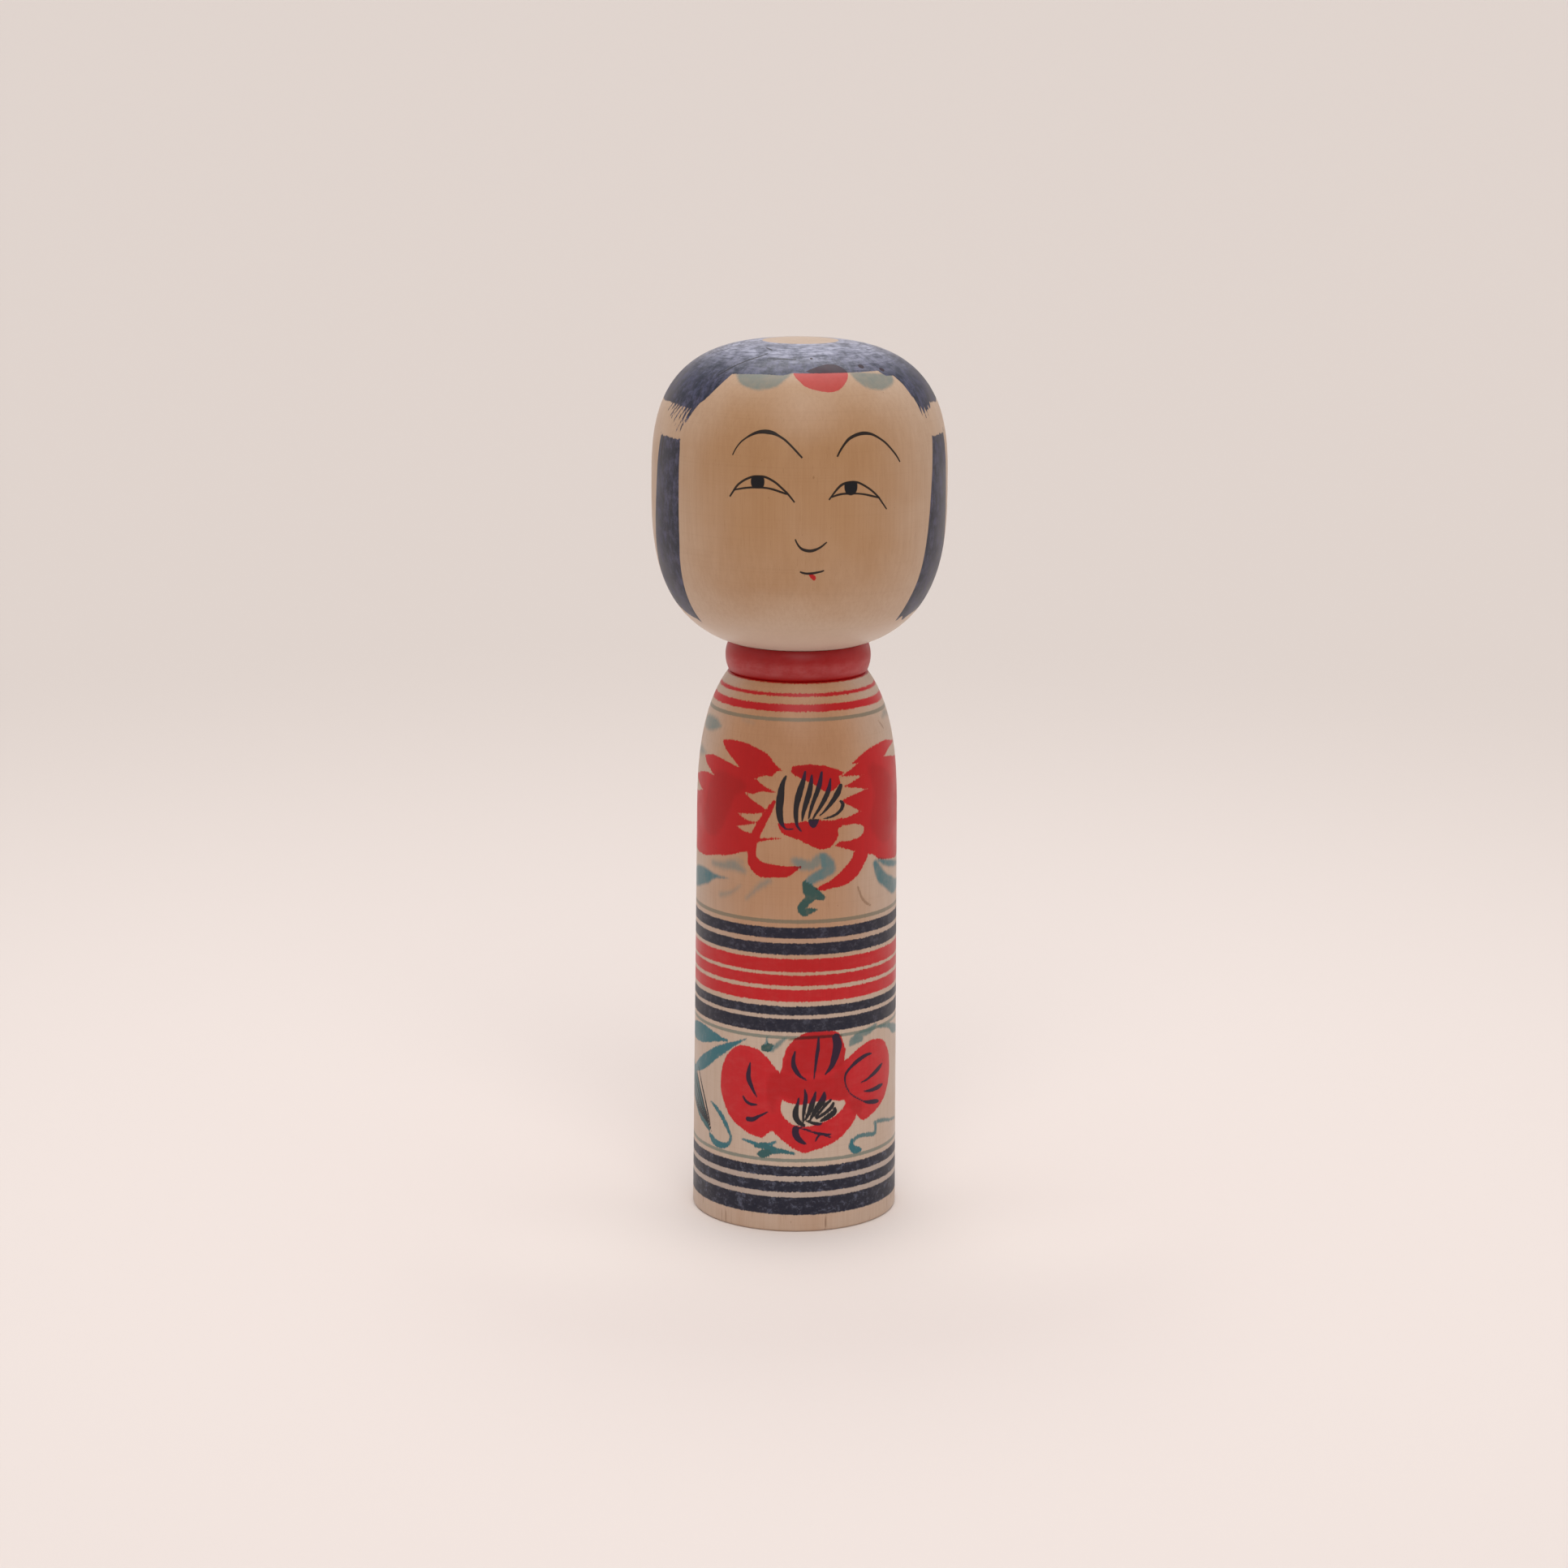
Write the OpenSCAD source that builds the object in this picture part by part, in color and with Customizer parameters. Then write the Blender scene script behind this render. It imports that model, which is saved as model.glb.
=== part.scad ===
// Kokeshi doll, eight sun tall: a lathe-turned body and a turned head.
// The head's tenon snaps into the body's socket and turns there by hand.
// Millimetres, +Z up. The origin is the centre of the base, and the doll faces -Y.

/* [Doll] */
// Height of the whole doll
doll_h = 240; // [220:1:260]
// Facets drawn round each turned surface
facets = 96; // [48:8:160]

/* [Body] */
// Radius of the trunk at the floor, before the taper
trunk_r = 28.2; // [26:0.1:30]
// Radius lost for each millimetre of height
trunk_taper = 0.008; // [0:0.001:0.02]
// Height at which the trunk starts to round into the shoulder
shoulder_z = 112; // [104:1:120]
// Radius of the shoulder where it meets the groove under the collar
neck_r = 19; // [18:0.1:20]
// Radius of the rounded edge at the floor
foot_round = 0.8; // [0.3:0.1:2]

/* [Collar] */
// Height of the groove under the collar
groove_z = 150.4; // [149:0.1:152]
// Width of the groove
groove_w = 0.5; // [0.3:0.1:1]
// Depth of the groove
groove_depth = 0.4; // [0.2:0.1:1]
// Height of the collar's flat top, which the head sits over
collar_top_z = 159; // [157:0.1:160]
// Largest radius of the collar bead
collar_r = 19.7; // [19.4:0.1:20.5]
// Radius of the collar bead at its two ends
collar_end_r = 18.75; // [18.4:0.05:19]

/* [Head] */
// Largest radius of the head
head_r = 39.7; // [38:0.1:41]
// Height of the head's widest ring
head_wide_z = 201.5; // [198:0.5:204]
// Radius of the flat on the head's underside
seat_r = 18.8; // [14:0.1:18.9]
// Gap between the head's underside and the collar
seat_gap = 0.1; // [0.1:0.05:0.4]

/* [Neck joint] */
// Length of the tenon below the head
tenon_len = 30; // [24:0.5:34]
// Radius of the tenon
tenon_r = 7.5; // [6.5:0.1:9]
// Radial clearance of the tenon in its socket
neck_clearance = 0.05; // [0.02:0.01:0.1]
// How far the locking bead stands out of the tenon
bead_rise = 0.8; // [0.4:0.1:1.2]
// Length of the locking bead along the tenon
bead_len = 8; // [6:0.5:10]
// Depth of the locking bead's crest below the head
bead_depth = 11; // [8:0.5:14]
// Free depth under the tenon's end
socket_spare = 0.6; // [0.4:0.1:2]

/* [Hidden] */

WOOD = [0.80, 0.66, 0.52];
FACE_WOOD = [0.76, 0.61, 0.47];

// Fullness of the curves: 2 is an ellipse and a larger number is squarer
ROUND_FULL = 2.6;
CHIN_FULL = 2.8;
CROWN_FULL = 2.9;
// Points along each turned curve, an even number
STEPS = 24;
// Points round the edge at the floor
FOOT_STEPS = 6;
// Chamfer on the tenon's end, and the smaller one on the socket's floor
LEAD_IN = 1.5;
FLOOR_CHAMFER = 0.5;

head_base_z = collar_top_z + seat_gap;
tenon_end_z = head_base_z - tenon_len;
bead_z = head_base_z - bead_depth;

// Share of one half-axis of a full curve at a share of the other
function full_curve(share, full) = pow(1 - pow(share, full), 1 / full);

// Radius of the trunk's taper at height z, without the shoulder
function taper_at(z) = trunk_r - trunk_taper * z;

// Height above shoulder_z at which the shoulder's curve would close on the axis
shoulder_h = (groove_z - shoulder_z) / full_curve(neck_r / taper_at(groove_z), ROUND_FULL);

// Depth below the widest ring at which the chin's curve would close on the axis
chin_h = (head_wide_z - head_base_z) / full_curve(seat_r / head_r, CHIN_FULL);

// Radius of the trunk and shoulder at height z
function trunk_at(z) =
    taper_at(z) * full_curve(max(0, z - shoulder_z) / shoulder_h, ROUND_FULL);

// Even steps from a to b, both included
function spread(a, b, steps) = [for (i = [0 : steps]) a + (b - a) * i / steps];

// Round edge at the floor, from the base up to the trunk's side
foot_points = [
    for (a = spread(0, 90, FOOT_STEPS))
        [trunk_at(foot_round) - foot_round * (1 - sin(a)), foot_round * (1 - cos(a))]
];
trunk_points = [for (z = spread(shoulder_z / 6, shoulder_z, 5)) [trunk_at(z), z]];
shoulder_points = [for (z = spread(shoulder_z + 1, groove_z, STEPS)) [trunk_at(z), z]];

// The groove, then the collar's shallow arc between its two ends
collar_foot_z = groove_z + groove_w;
collar_mid_z = (collar_foot_z + collar_top_z) / 2;
collar_half = (collar_top_z - collar_foot_z) / 2;
collar_points = concat(
    [[collar_end_r - groove_depth, groove_z + groove_w / 2]],
    [for (t = spread(-1, 1, STEPS / 2))
        [collar_end_r + (collar_r - collar_end_r) * (1 - t * t), collar_mid_z + collar_half * t]]
);

// Head outline from its flat underside up to the crown
chin_start = asin(pow((head_wide_z - head_base_z) / chin_h, CHIN_FULL / 2));
chin_points = [
    for (a = spread(chin_start, 0, STEPS))
        [head_r * pow(cos(a), 2 / CHIN_FULL), head_wide_z - chin_h * pow(sin(a), 2 / CHIN_FULL)]
];
crown_points = [
    for (a = spread(90 / STEPS, 90, STEPS - 1))
        [head_r * pow(max(0, cos(a)), 2 / CROWN_FULL),
         head_wide_z + (doll_h - head_wide_z) * pow(sin(a), 2 / CROWN_FULL)]
];

// Side of the tenon, or of its socket when grown by a gap, from the bottom up
function tenon_side(gap, bottom_z, chamfer) = concat(
    [[tenon_r + gap - chamfer, bottom_z], [tenon_r + gap, bottom_z + chamfer]],
    [for (t = spread(-1, 1, STEPS))
        [tenon_r + gap + bead_rise * (1 + cos(180 * t)) / 2, bead_z + bead_len / 2 * t]],
    [[tenon_r + gap, head_base_z]]
);

// Turns an outline that runs from the axis out and back to the axis
module turned(outline) {
    rotate_extrude($fn = facets) polygon(outline);
}

module socket() {
    floor_z = tenon_end_z - socket_spare;
    turned(concat([[0, floor_z]], tenon_side(neck_clearance, floor_z, FLOOR_CHAMFER),
                  [[0, head_base_z]]));
}

// Trunk, shoulder and collar bead, turned from one blank
module body() {
    color(WOOD)
    difference() {
        turned(concat([[0, 0]], foot_points, trunk_points, shoulder_points, collar_points,
                      [[0, collar_top_z]]));
        socket();
    }
}

// Head and tenon, turned from one blank
module head() {
    color(FACE_WOOD)
    turned(concat([[0, tenon_end_z]], tenon_side(0, tenon_end_z, LEAD_IN),
                  chin_points, crown_points));
}

body();
head();
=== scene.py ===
from math import ceil, cos, pi, radians, sin
import bpy
import numpy as np
from mathutils import Matrix, Vector


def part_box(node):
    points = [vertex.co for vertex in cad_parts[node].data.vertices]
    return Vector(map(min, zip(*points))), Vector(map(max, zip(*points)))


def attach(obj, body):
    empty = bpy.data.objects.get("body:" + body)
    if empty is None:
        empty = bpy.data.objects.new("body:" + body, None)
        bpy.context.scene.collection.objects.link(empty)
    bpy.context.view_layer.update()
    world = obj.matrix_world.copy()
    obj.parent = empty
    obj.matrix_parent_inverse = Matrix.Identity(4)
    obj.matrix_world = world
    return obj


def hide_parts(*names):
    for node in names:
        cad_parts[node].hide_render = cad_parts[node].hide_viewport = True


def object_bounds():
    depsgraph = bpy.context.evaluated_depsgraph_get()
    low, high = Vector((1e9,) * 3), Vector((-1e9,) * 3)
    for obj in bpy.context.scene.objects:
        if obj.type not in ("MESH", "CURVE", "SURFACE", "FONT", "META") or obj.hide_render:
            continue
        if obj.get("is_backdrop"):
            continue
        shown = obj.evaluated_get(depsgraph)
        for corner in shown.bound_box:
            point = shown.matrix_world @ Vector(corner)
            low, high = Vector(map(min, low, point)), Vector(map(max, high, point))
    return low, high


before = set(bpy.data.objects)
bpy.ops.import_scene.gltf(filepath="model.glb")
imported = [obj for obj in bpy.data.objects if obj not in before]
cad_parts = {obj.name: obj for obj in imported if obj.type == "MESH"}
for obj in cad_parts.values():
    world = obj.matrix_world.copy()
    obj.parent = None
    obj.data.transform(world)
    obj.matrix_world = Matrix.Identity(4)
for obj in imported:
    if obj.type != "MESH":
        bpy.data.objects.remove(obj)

cad_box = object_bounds()

MM = 0.001
_, body_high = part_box("body")
head_low, head_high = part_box("head")

# ---- Turned sizes in millimetres: the overall ones come from the parts in model.glb ----
ROUND_FULL = 2.6        # fullness of the shoulder's curve: 2 is an ellipse, and more is squarer
CHIN_FULL = 2.8
CROWN_FULL = 2.9
FOOT_ROUND = 0.8
TRUNK_TAPER = 0.008
TRUNK_R = body_high[0] / MM + TRUNK_TAPER * FOOT_ROUND
SHOULDER_Z = 112
NECK_R = 19
GROOVE_Z, GROOVE_W, GROOVE_DEPTH = 150.4, 0.5, 0.4
COLLAR_TOP = body_high[2] / MM
COLLAR_R, COLLAR_END_R = 19.7, 18.75
HEAD_TOP = head_high[2] / MM
HEAD_R = head_high[0] / MM
HEAD_WIDE_Z = 201.5
SEAT_R = 18.8
SEAT_Z = COLLAR_TOP + 0.1
TENON_END = head_low[2] / MM
TENON_R, BEAD_RISE, BEAD_HALF = 7.5, 0.8, 4
BEAD_Z = SEAT_Z - 11
NECK_CLEARANCE, SOCKET_SPARE = 0.05, 0.6
LEAD_IN, FLOOR_CHAMFER = 1.5, 0.5

# ---- Charts: millimetres round from the line that faces the camera ----
CHART_TURN = radians(4.33)      # the face looks this far round from that line
BODY_CHART_R = 27.5             # chart millimetres per radian on the body
HEAD_CHART_R = 39.7
REACH = 1.6                     # paint depth is kept to this far from an edge
OFF_BODY, OFF_HEAD = -50, 400   # chart places of the rings that carry no paint
FRONT_HALF = 42                 # the body's paint lies this far to each side, on the finest columns


def full_curve(share, full):
    return (1 - share ** full) ** (1 / full)


def taper_at(z):
    return TRUNK_R - TRUNK_TAPER * z


SHOULDER_H = (GROOVE_Z - SHOULDER_Z) / full_curve(NECK_R / taper_at(GROOVE_Z), ROUND_FULL)
CHIN_H = (HEAD_WIDE_Z - SEAT_Z) / full_curve(SEAT_R / HEAD_R, CHIN_FULL)


def trunk_at(z):
    return taper_at(z) * full_curve(max(0, z - SHOULDER_Z) / SHOULDER_H, ROUND_FULL)


# ======== What is painted on the body: (across, height) in chart millimetres ========

BANDS = {
    "black": ((4.9, 9.9), (11.35, 14.4), (15.85, 18.65), (56.4, 60.1), (61.15, 63.6), (77.9, 81.1),
              (82.4, 85.4)),
    "red": ((64.9, 68.25), (69.3, 72.25), (73.1, 76.8), (143.4, 145.3), (147.15, 148.0),
            (GROOVE_Z - 0.1, COLLAR_TOP + 2)),
    "olive": ((20.0, 20.7), (54.6, 55.25), (86.7, 87.5), (141.1, 141.8)),
    "wash": ((4.9, 18.65), (56.4, 63.6), (77.9, 85.4)),
}

# Outlines: a point given twice is a sharp corner
UPPER_RED = (
    # petal at the top left
    ((-25, 134.2), (-25, 134.2), (-22, 134.8), (-18, 134.9), (-15, 134.5), (-12, 133.8), (-10, 133),
     (-8, 132), (-6.2, 129.8), (-4.8, 128.8), (-4.2, 128.2), (-4.2, 128.2), (-6, 127.7), (-7, 126.6),
     (-9, 126.7), (-12, 127), (-16, 127.5), (-18, 128.8), (-20, 130.2), (-22, 131.5), (-23.5, 132.8)),
    # left mass, fingered on its right and running round the side
    ((-16, 127.8), (-13, 127.4), (-9, 126.7), (-9, 126.7), (-11.7, 125.6), (-11.7, 125.6), (-9.5, 124),
     (-6, 122.4), (-5.8, 122.1), (-5.8, 122.1), (-10, 122.2), (-12, 121.4), (-15, 121.6),
     (-15, 121.6), (-13, 120.1), (-11, 118.9), (-8.6, 117.6), (-9, 116.6), (-13, 116),
     (-16.8, 115.6), (-16.8, 115.6), (-14, 114.1), (-11, 114), (-11.5, 113.4), (-14, 112.8),
     (-17.2, 112), (-17.2, 112), (-15, 111), (-12.5, 110.5), (-12, 108.5), (-12.6, 105.8),
     (-12.6, 105.8), (-16, 105), (-18, 104.2), (-22, 103.3), (-26, 102.6), (-30, 101.7),
     (-34, 101.4), (-38, 101.5), (-46, 102.5), (-52, 106), (-54, 110), (-54, 110), (-50, 114.5),
     (-44, 117.2), (-38, 118), (-34, 119.2), (-34, 119.2), (-38, 120.5), (-44, 121.8), (-44, 121.8),
     (-38, 123), (-36, 123.8), (-31, 124.6), (-27, 124.4), (-27, 124.4), (-30, 126), (-32, 127),
     (-33.8, 128.8), (-33.8, 128.8), (-30, 129.5), (-28, 129.8), (-24, 129.4), (-20, 128.6)),
    # petal at the top centre
    ((-2, 128), (-2, 128), (-1.2, 129.3), (0, 129.7), (4, 129.9), (8, 129.4), (10, 128.8),
     (13.2, 127.4), (13.2, 127.4), (13, 126.8), (11.8, 126.4), (12.2, 124.5), (11.5, 123.8),
     (10, 122.6), (8.5, 122.5), (7, 122.8), (5, 124.3), (3, 125.3), (1.5, 125.8), (-1.5, 127.6)),
    # crescent under the stamens
    ((-5.2, 113.8), (-5.2, 113.8), (-4, 111.4), (-2, 110.4), (0, 109.8), (2, 108.8), (5.5, 107.2),
     (7, 106.8), (8.5, 107), (10, 107.9), (11.5, 110.2), (11.3, 112), (13, 113), (13, 115.2),
     (13, 115.2), (10, 114.6), (6, 114.9), (2, 114.6), (-1, 114.2), (-4.5, 114)),
    # right mass and the stem that curls down from it
    ((15.7, 129.2), (15.7, 129.2), (18.5, 130.7), (22, 132.3), (26, 133.1), (32, 133.5), (36, 132.7),
     (40, 132), (46, 130.5), (46, 130.5), (40, 131.5), (34, 131), (30, 129.4), (30, 129.4),
     (34, 128.8), (38, 128), (46, 126.5), (53, 121), (55, 114), (52, 106), (46, 101), (38, 100),
     (34, 100.4), (30, 101), (26, 101.9), (23.5, 103.5), (21.5, 104), (21.5, 104), (20, 101.5),
     (17.5, 98.6), (14, 96.6), (10, 96), (7, 95.5), (5.3, 96), (5.3, 96), (6.5, 96.8), (10, 98.6),
     (13.5, 101.3), (15.3, 103.3), (16.6, 105.5), (16.6, 105.5), (14, 106.4), (10.5, 107.5),
     (10.5, 107.5), (12, 108.7), (15, 108.6), (18.5, 109.2), (19.6, 110.8), (19.2, 112.2),
     (16.5, 113), (13, 113), (12, 114.6), (14, 115), (18.3, 116.3), (18.3, 116.3), (14, 118.7),
     (12.8, 119.4), (14, 120.4), (20.6, 122), (20.6, 122), (14, 123.3), (12, 123.2), (12, 123.2),
     (14, 123.8), (19.4, 125.8), (19.4, 125.8), (14, 126.2), (12, 126), (12, 126), (18, 129.2),
     (18, 129.2)),
)
UPPER_RED_STROKES = (
    ((-6.2, 119.7, 0.5), (-8, 116.5, 1), (-9.5, 114, 1.1), (-11, 111, 1.3), (-12.2, 108, 1.3),
     (-12.5, 105, 1.3), (-11.8, 102.6, 1.7), (-9.5, 101, 2.1), (-6, 100.8, 1.8), (-2.5, 100.9, 1.4),
     (1, 102.2, 0.2)),
    ((-10.5, 109, 0.5), (-7, 109.6, 0.3), (-4.3, 109.9, 0.1)),
)
UPPER_DEEP = (
    ((-1.2, 127.9), (-0.5, 129.2), (3, 129.8), (6.5, 129.6), (6.5, 126), (3, 126), (1, 126.4)),
    ((-28, 124), (-22, 126), (-14, 123.5), (-18, 120), (-22, 112), (-26, 108), (-32, 110)),
    ((22, 128), (30, 126), (36, 118), (34, 108), (28, 106), (22, 112), (24, 120)),
)
UPPER_BLACK = (
    ((-3, 126.9, 0.15), (-4, 124.5, 0.6), (-4.5, 121, 0.95), (-4.75, 118, 0.9), (-4.4, 115, 0.7),
     (-3.6, 113.2, 0.3), (-2.6, 112.4, 0.15), (-1, 112.6, 0.1)),
    ((2.2, 128, 0.2), (1.8, 126, 0.5), (1, 123.5, 0.75), (0.3, 121, 0.8), (-0.2, 118.5, 0.65),
     (-0.2, 115.5, 0.5), (0.1, 113.5, 0.3), (1.2, 111.9, 0.12)),
    ((4, 127, 0.2), (3.8, 125, 0.5), (3.3, 122.5, 0.7), (2.6, 120, 0.65), (2, 118, 0.5),
     (1.6, 116, 0.3), (1.4, 114.8, 0.15)),
    ((6.8, 127.8, 0.2), (6.5, 126, 0.45), (6, 124, 0.6), (5.2, 121.8, 0.55), (4.3, 119.5, 0.45),
     (3.6, 117.2, 0.3), (3.2, 115.5, 0.15)),
    ((9.3, 126, 0.15), (9, 124.2, 0.4), (8.5, 122.4, 0.6), (7.4, 120.2, 0.55), (6.2, 118.2, 0.4),
     (5, 116.4, 0.25), (4.4, 115.4, 0.15)),
    ((12.2, 123.8, 0.5), (11.4, 122, 0.75), (10.2, 120.3, 0.6), (8.8, 118.6, 0.4), (7.3, 117, 0.2),
     (6.2, 116.1, 0.1)),
    ((12, 119.7, 0.2), (12.8, 119, 0.4), (12.6, 117.8, 0.45), (11.5, 116.6, 0.35), (10, 115.8, 0.25),
     (8.5, 115.4, 0.2), (7.2, 115.3, 0.1)),
)
UPPER_DOT = ((2.9, 115.2), (2.9, 115.2), (6.1, 115.2), (6.1, 115.2), (5.6, 113.7), (4.5, 112.7),
             (3.4, 113.6))
# Greens: how dark the stroke is, from 0 a wash to 1 thick teal, then its points
UPPER_GREEN = (
    (0.4, ((-27, 137.6, 0.6), (-30, 137.6, 1.7), (-34, 137.4, 2.2), (-39, 137.2, 1.9))),
    (0.3, ((-33, 129.4, 0.3), (-38, 129.3, 1.6), (-43, 129, 1.2))),
    (0.1, ((-14, 140, 0.4), (-18, 140.5, 0.5))),
    (0.3, ((-26.5, 100.3, 0.9), (-22, 100.5, 1.3), (-18, 101.2, 1.8), (-14.9, 100, 1))),
    (0.16, ((-17.5, 103.2, 0.5), (-15.5, 102.4, 0.7))),
    (0.62, ((-20, 97.2, 0.1), (-25.5, 96.8, 0.8), (-30, 96, 2.2), (-34, 95.3, 2.8), (-38, 94.2, 3),
            (-43, 93, 2.4))),
    (0.26, ((-23, 92.2, 0.9), (-21, 92.8, 0.8), (-18.5, 93.8, 0.6), (-16, 95.8, 0.4))),
    (0.28, ((-14, 92.5, 0.5), (-11.5, 95, 0.8), (-9.5, 96.8, 1.1), (-7.5, 98, 1))),
    (0.38, ((-0.5, 103.9, 1.2), (1.5, 102.8, 1.8), (4, 102.6, 1.6), (6, 104, 1.9))),
    (0.5, ((5, 103.6, 1.2), (6.8, 104.4, 1.7), (8.4, 102.8, 2.1), (9.3, 101.2, 1.6), (7.4, 100.4, 1.7),
           (5.6, 99.5, 1.6), (3.8, 98.4, 1.3))),
    (0.95, ((2.4, 98, 0.6), (3, 97, 1.3), (3.4, 95.6, 1.6), (5, 94.7, 1.5), (7.2, 93.6, 0.7))),
    (1.0, ((4.8, 94, 1), (3.2, 93, 1), (2, 91.8, 1.1), (1.5, 90.5, 1.1), (2.4, 89.6, 1),
           (3.8, 90.1, 0.8), (5.3, 90.3, 0.4))),
    (0.56, ((24.5, 100.8, 1.2), (27, 97, 2), (30, 95, 2), (33, 93.5, 2.3), (36, 92.3, 2.2),
            (42, 92, 1.2))),
    (0.56, ((26, 101.6, 0.6), (29, 100.4, 1), (34, 99, 1.1), (42, 97.5, 0.6))),
    (0.3, ((33, 139.3, 0.4), (37, 140, 1), (42, 139, 0.6))),
)
# Dry brown marks of a nearly empty brush
FAINT_STROKES = (
    ((17.8, 95.5, 0.2), (18.8, 93, 0.25), (20.3, 91, 0.3), (22.5, 89.6, 0.2)),
    ((30, 139, 0.15), (31, 138, 0.2), (32.5, 136.6, 0.15)),
    ((-1.5, 54.3, 0.2), (3, 54.9, 0.28), (8, 55.1, 0.28), (13, 54.8, 0.2)),
)

LOWER_RED = (
    # left petal
    ((-22.2, 40), (-22, 43), (-21, 46), (-19.5, 48.5), (-17.5, 50.5), (-15.5, 51.5), (-13, 51.6),
     (-10, 51), (-8.5, 49.7), (-7, 48.6), (-5, 45.8), (-3.8, 44.5), (-3.2, 38), (-5.2, 29),
     (-5.7, 28.6), (-7, 27.8), (-8.8, 26.2), (-8.8, 26.2), (-12.5, 27), (-16.5, 29.1),
     (-18.5, 30.7), (-20.3, 33), (-21.5, 35.5), (-22.2, 38)),
    # top petal, down to the bare centre
    ((-3.8, 44.6), (-3.3, 48.5), (-2.6, 51), (-1.5, 53), (0, 54.6), (3.5, 56.5), (8, 56.9),
     (11.5, 56), (12.8, 54.6), (14, 51), (13.9, 47.7), (15, 42), (14.8, 36.4), (14.8, 36.4),
     (12, 36.6), (8, 37), (2, 36.1), (0, 36.3), (-2, 36.7), (-4.3, 38), (-4.3, 38)),
    # right petal
    ((13, 46.6), (14, 47.7), (16, 49), (18, 50.2), (22, 51.8), (26, 51.5), (28, 50.9), (30, 49.3),
     (31.5, 47.3), (32.5, 45), (32.8, 42.5), (32.6, 40), (31.8, 37.5), (30.5, 35.5), (29, 33.8),
     (26.5, 32), (24, 30.9), (21, 29.8), (19.5, 30), (17.8, 31.8), (17.8, 31.8), (15.5, 34),
     (13.5, 37), (12.6, 41)),
    # cup round the bare centre
    ((14.8, 36.4), (14.8, 36.4), (16.4, 34.4), (17.8, 31.8), (16.5, 29.5), (15, 28), (12.5, 25.8),
     (9, 24.2), (5, 23), (3.3, 22.5), (1.5, 22.8), (-1.5, 24.6), (-4.2, 27), (-5.7, 28.6),
     (-5.6, 33), (-4.3, 38), (-4.3, 38), (-3.8, 34.6), (-3, 33), (-2, 31.7), (0, 30.4), (3.5, 30),
     (6.5, 30.6), (10, 31.9), (12, 33), (13.5, 34.5)),
)
LOWER_DEEP = (
    ((-6.5, 44.5), (-3, 45), (2, 43.5), (8, 43), (13.6, 45.5), (15.5, 39), (14.6, 37), (8, 37.6),
     (2, 36.8), (-4, 38.5), (-5.6, 33.5), (-7, 36), (-7.5, 40)),
    ((14.9, 36), (18.2, 36.2), (20, 33.5), (17.9, 31.6)),
    ((-2.6, 45), (-2, 50), (-0.6, 53.6), (3.5, 56.2), (8, 56.6), (11.3, 55.6), (13, 53), (13.2, 46)),
)
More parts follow.
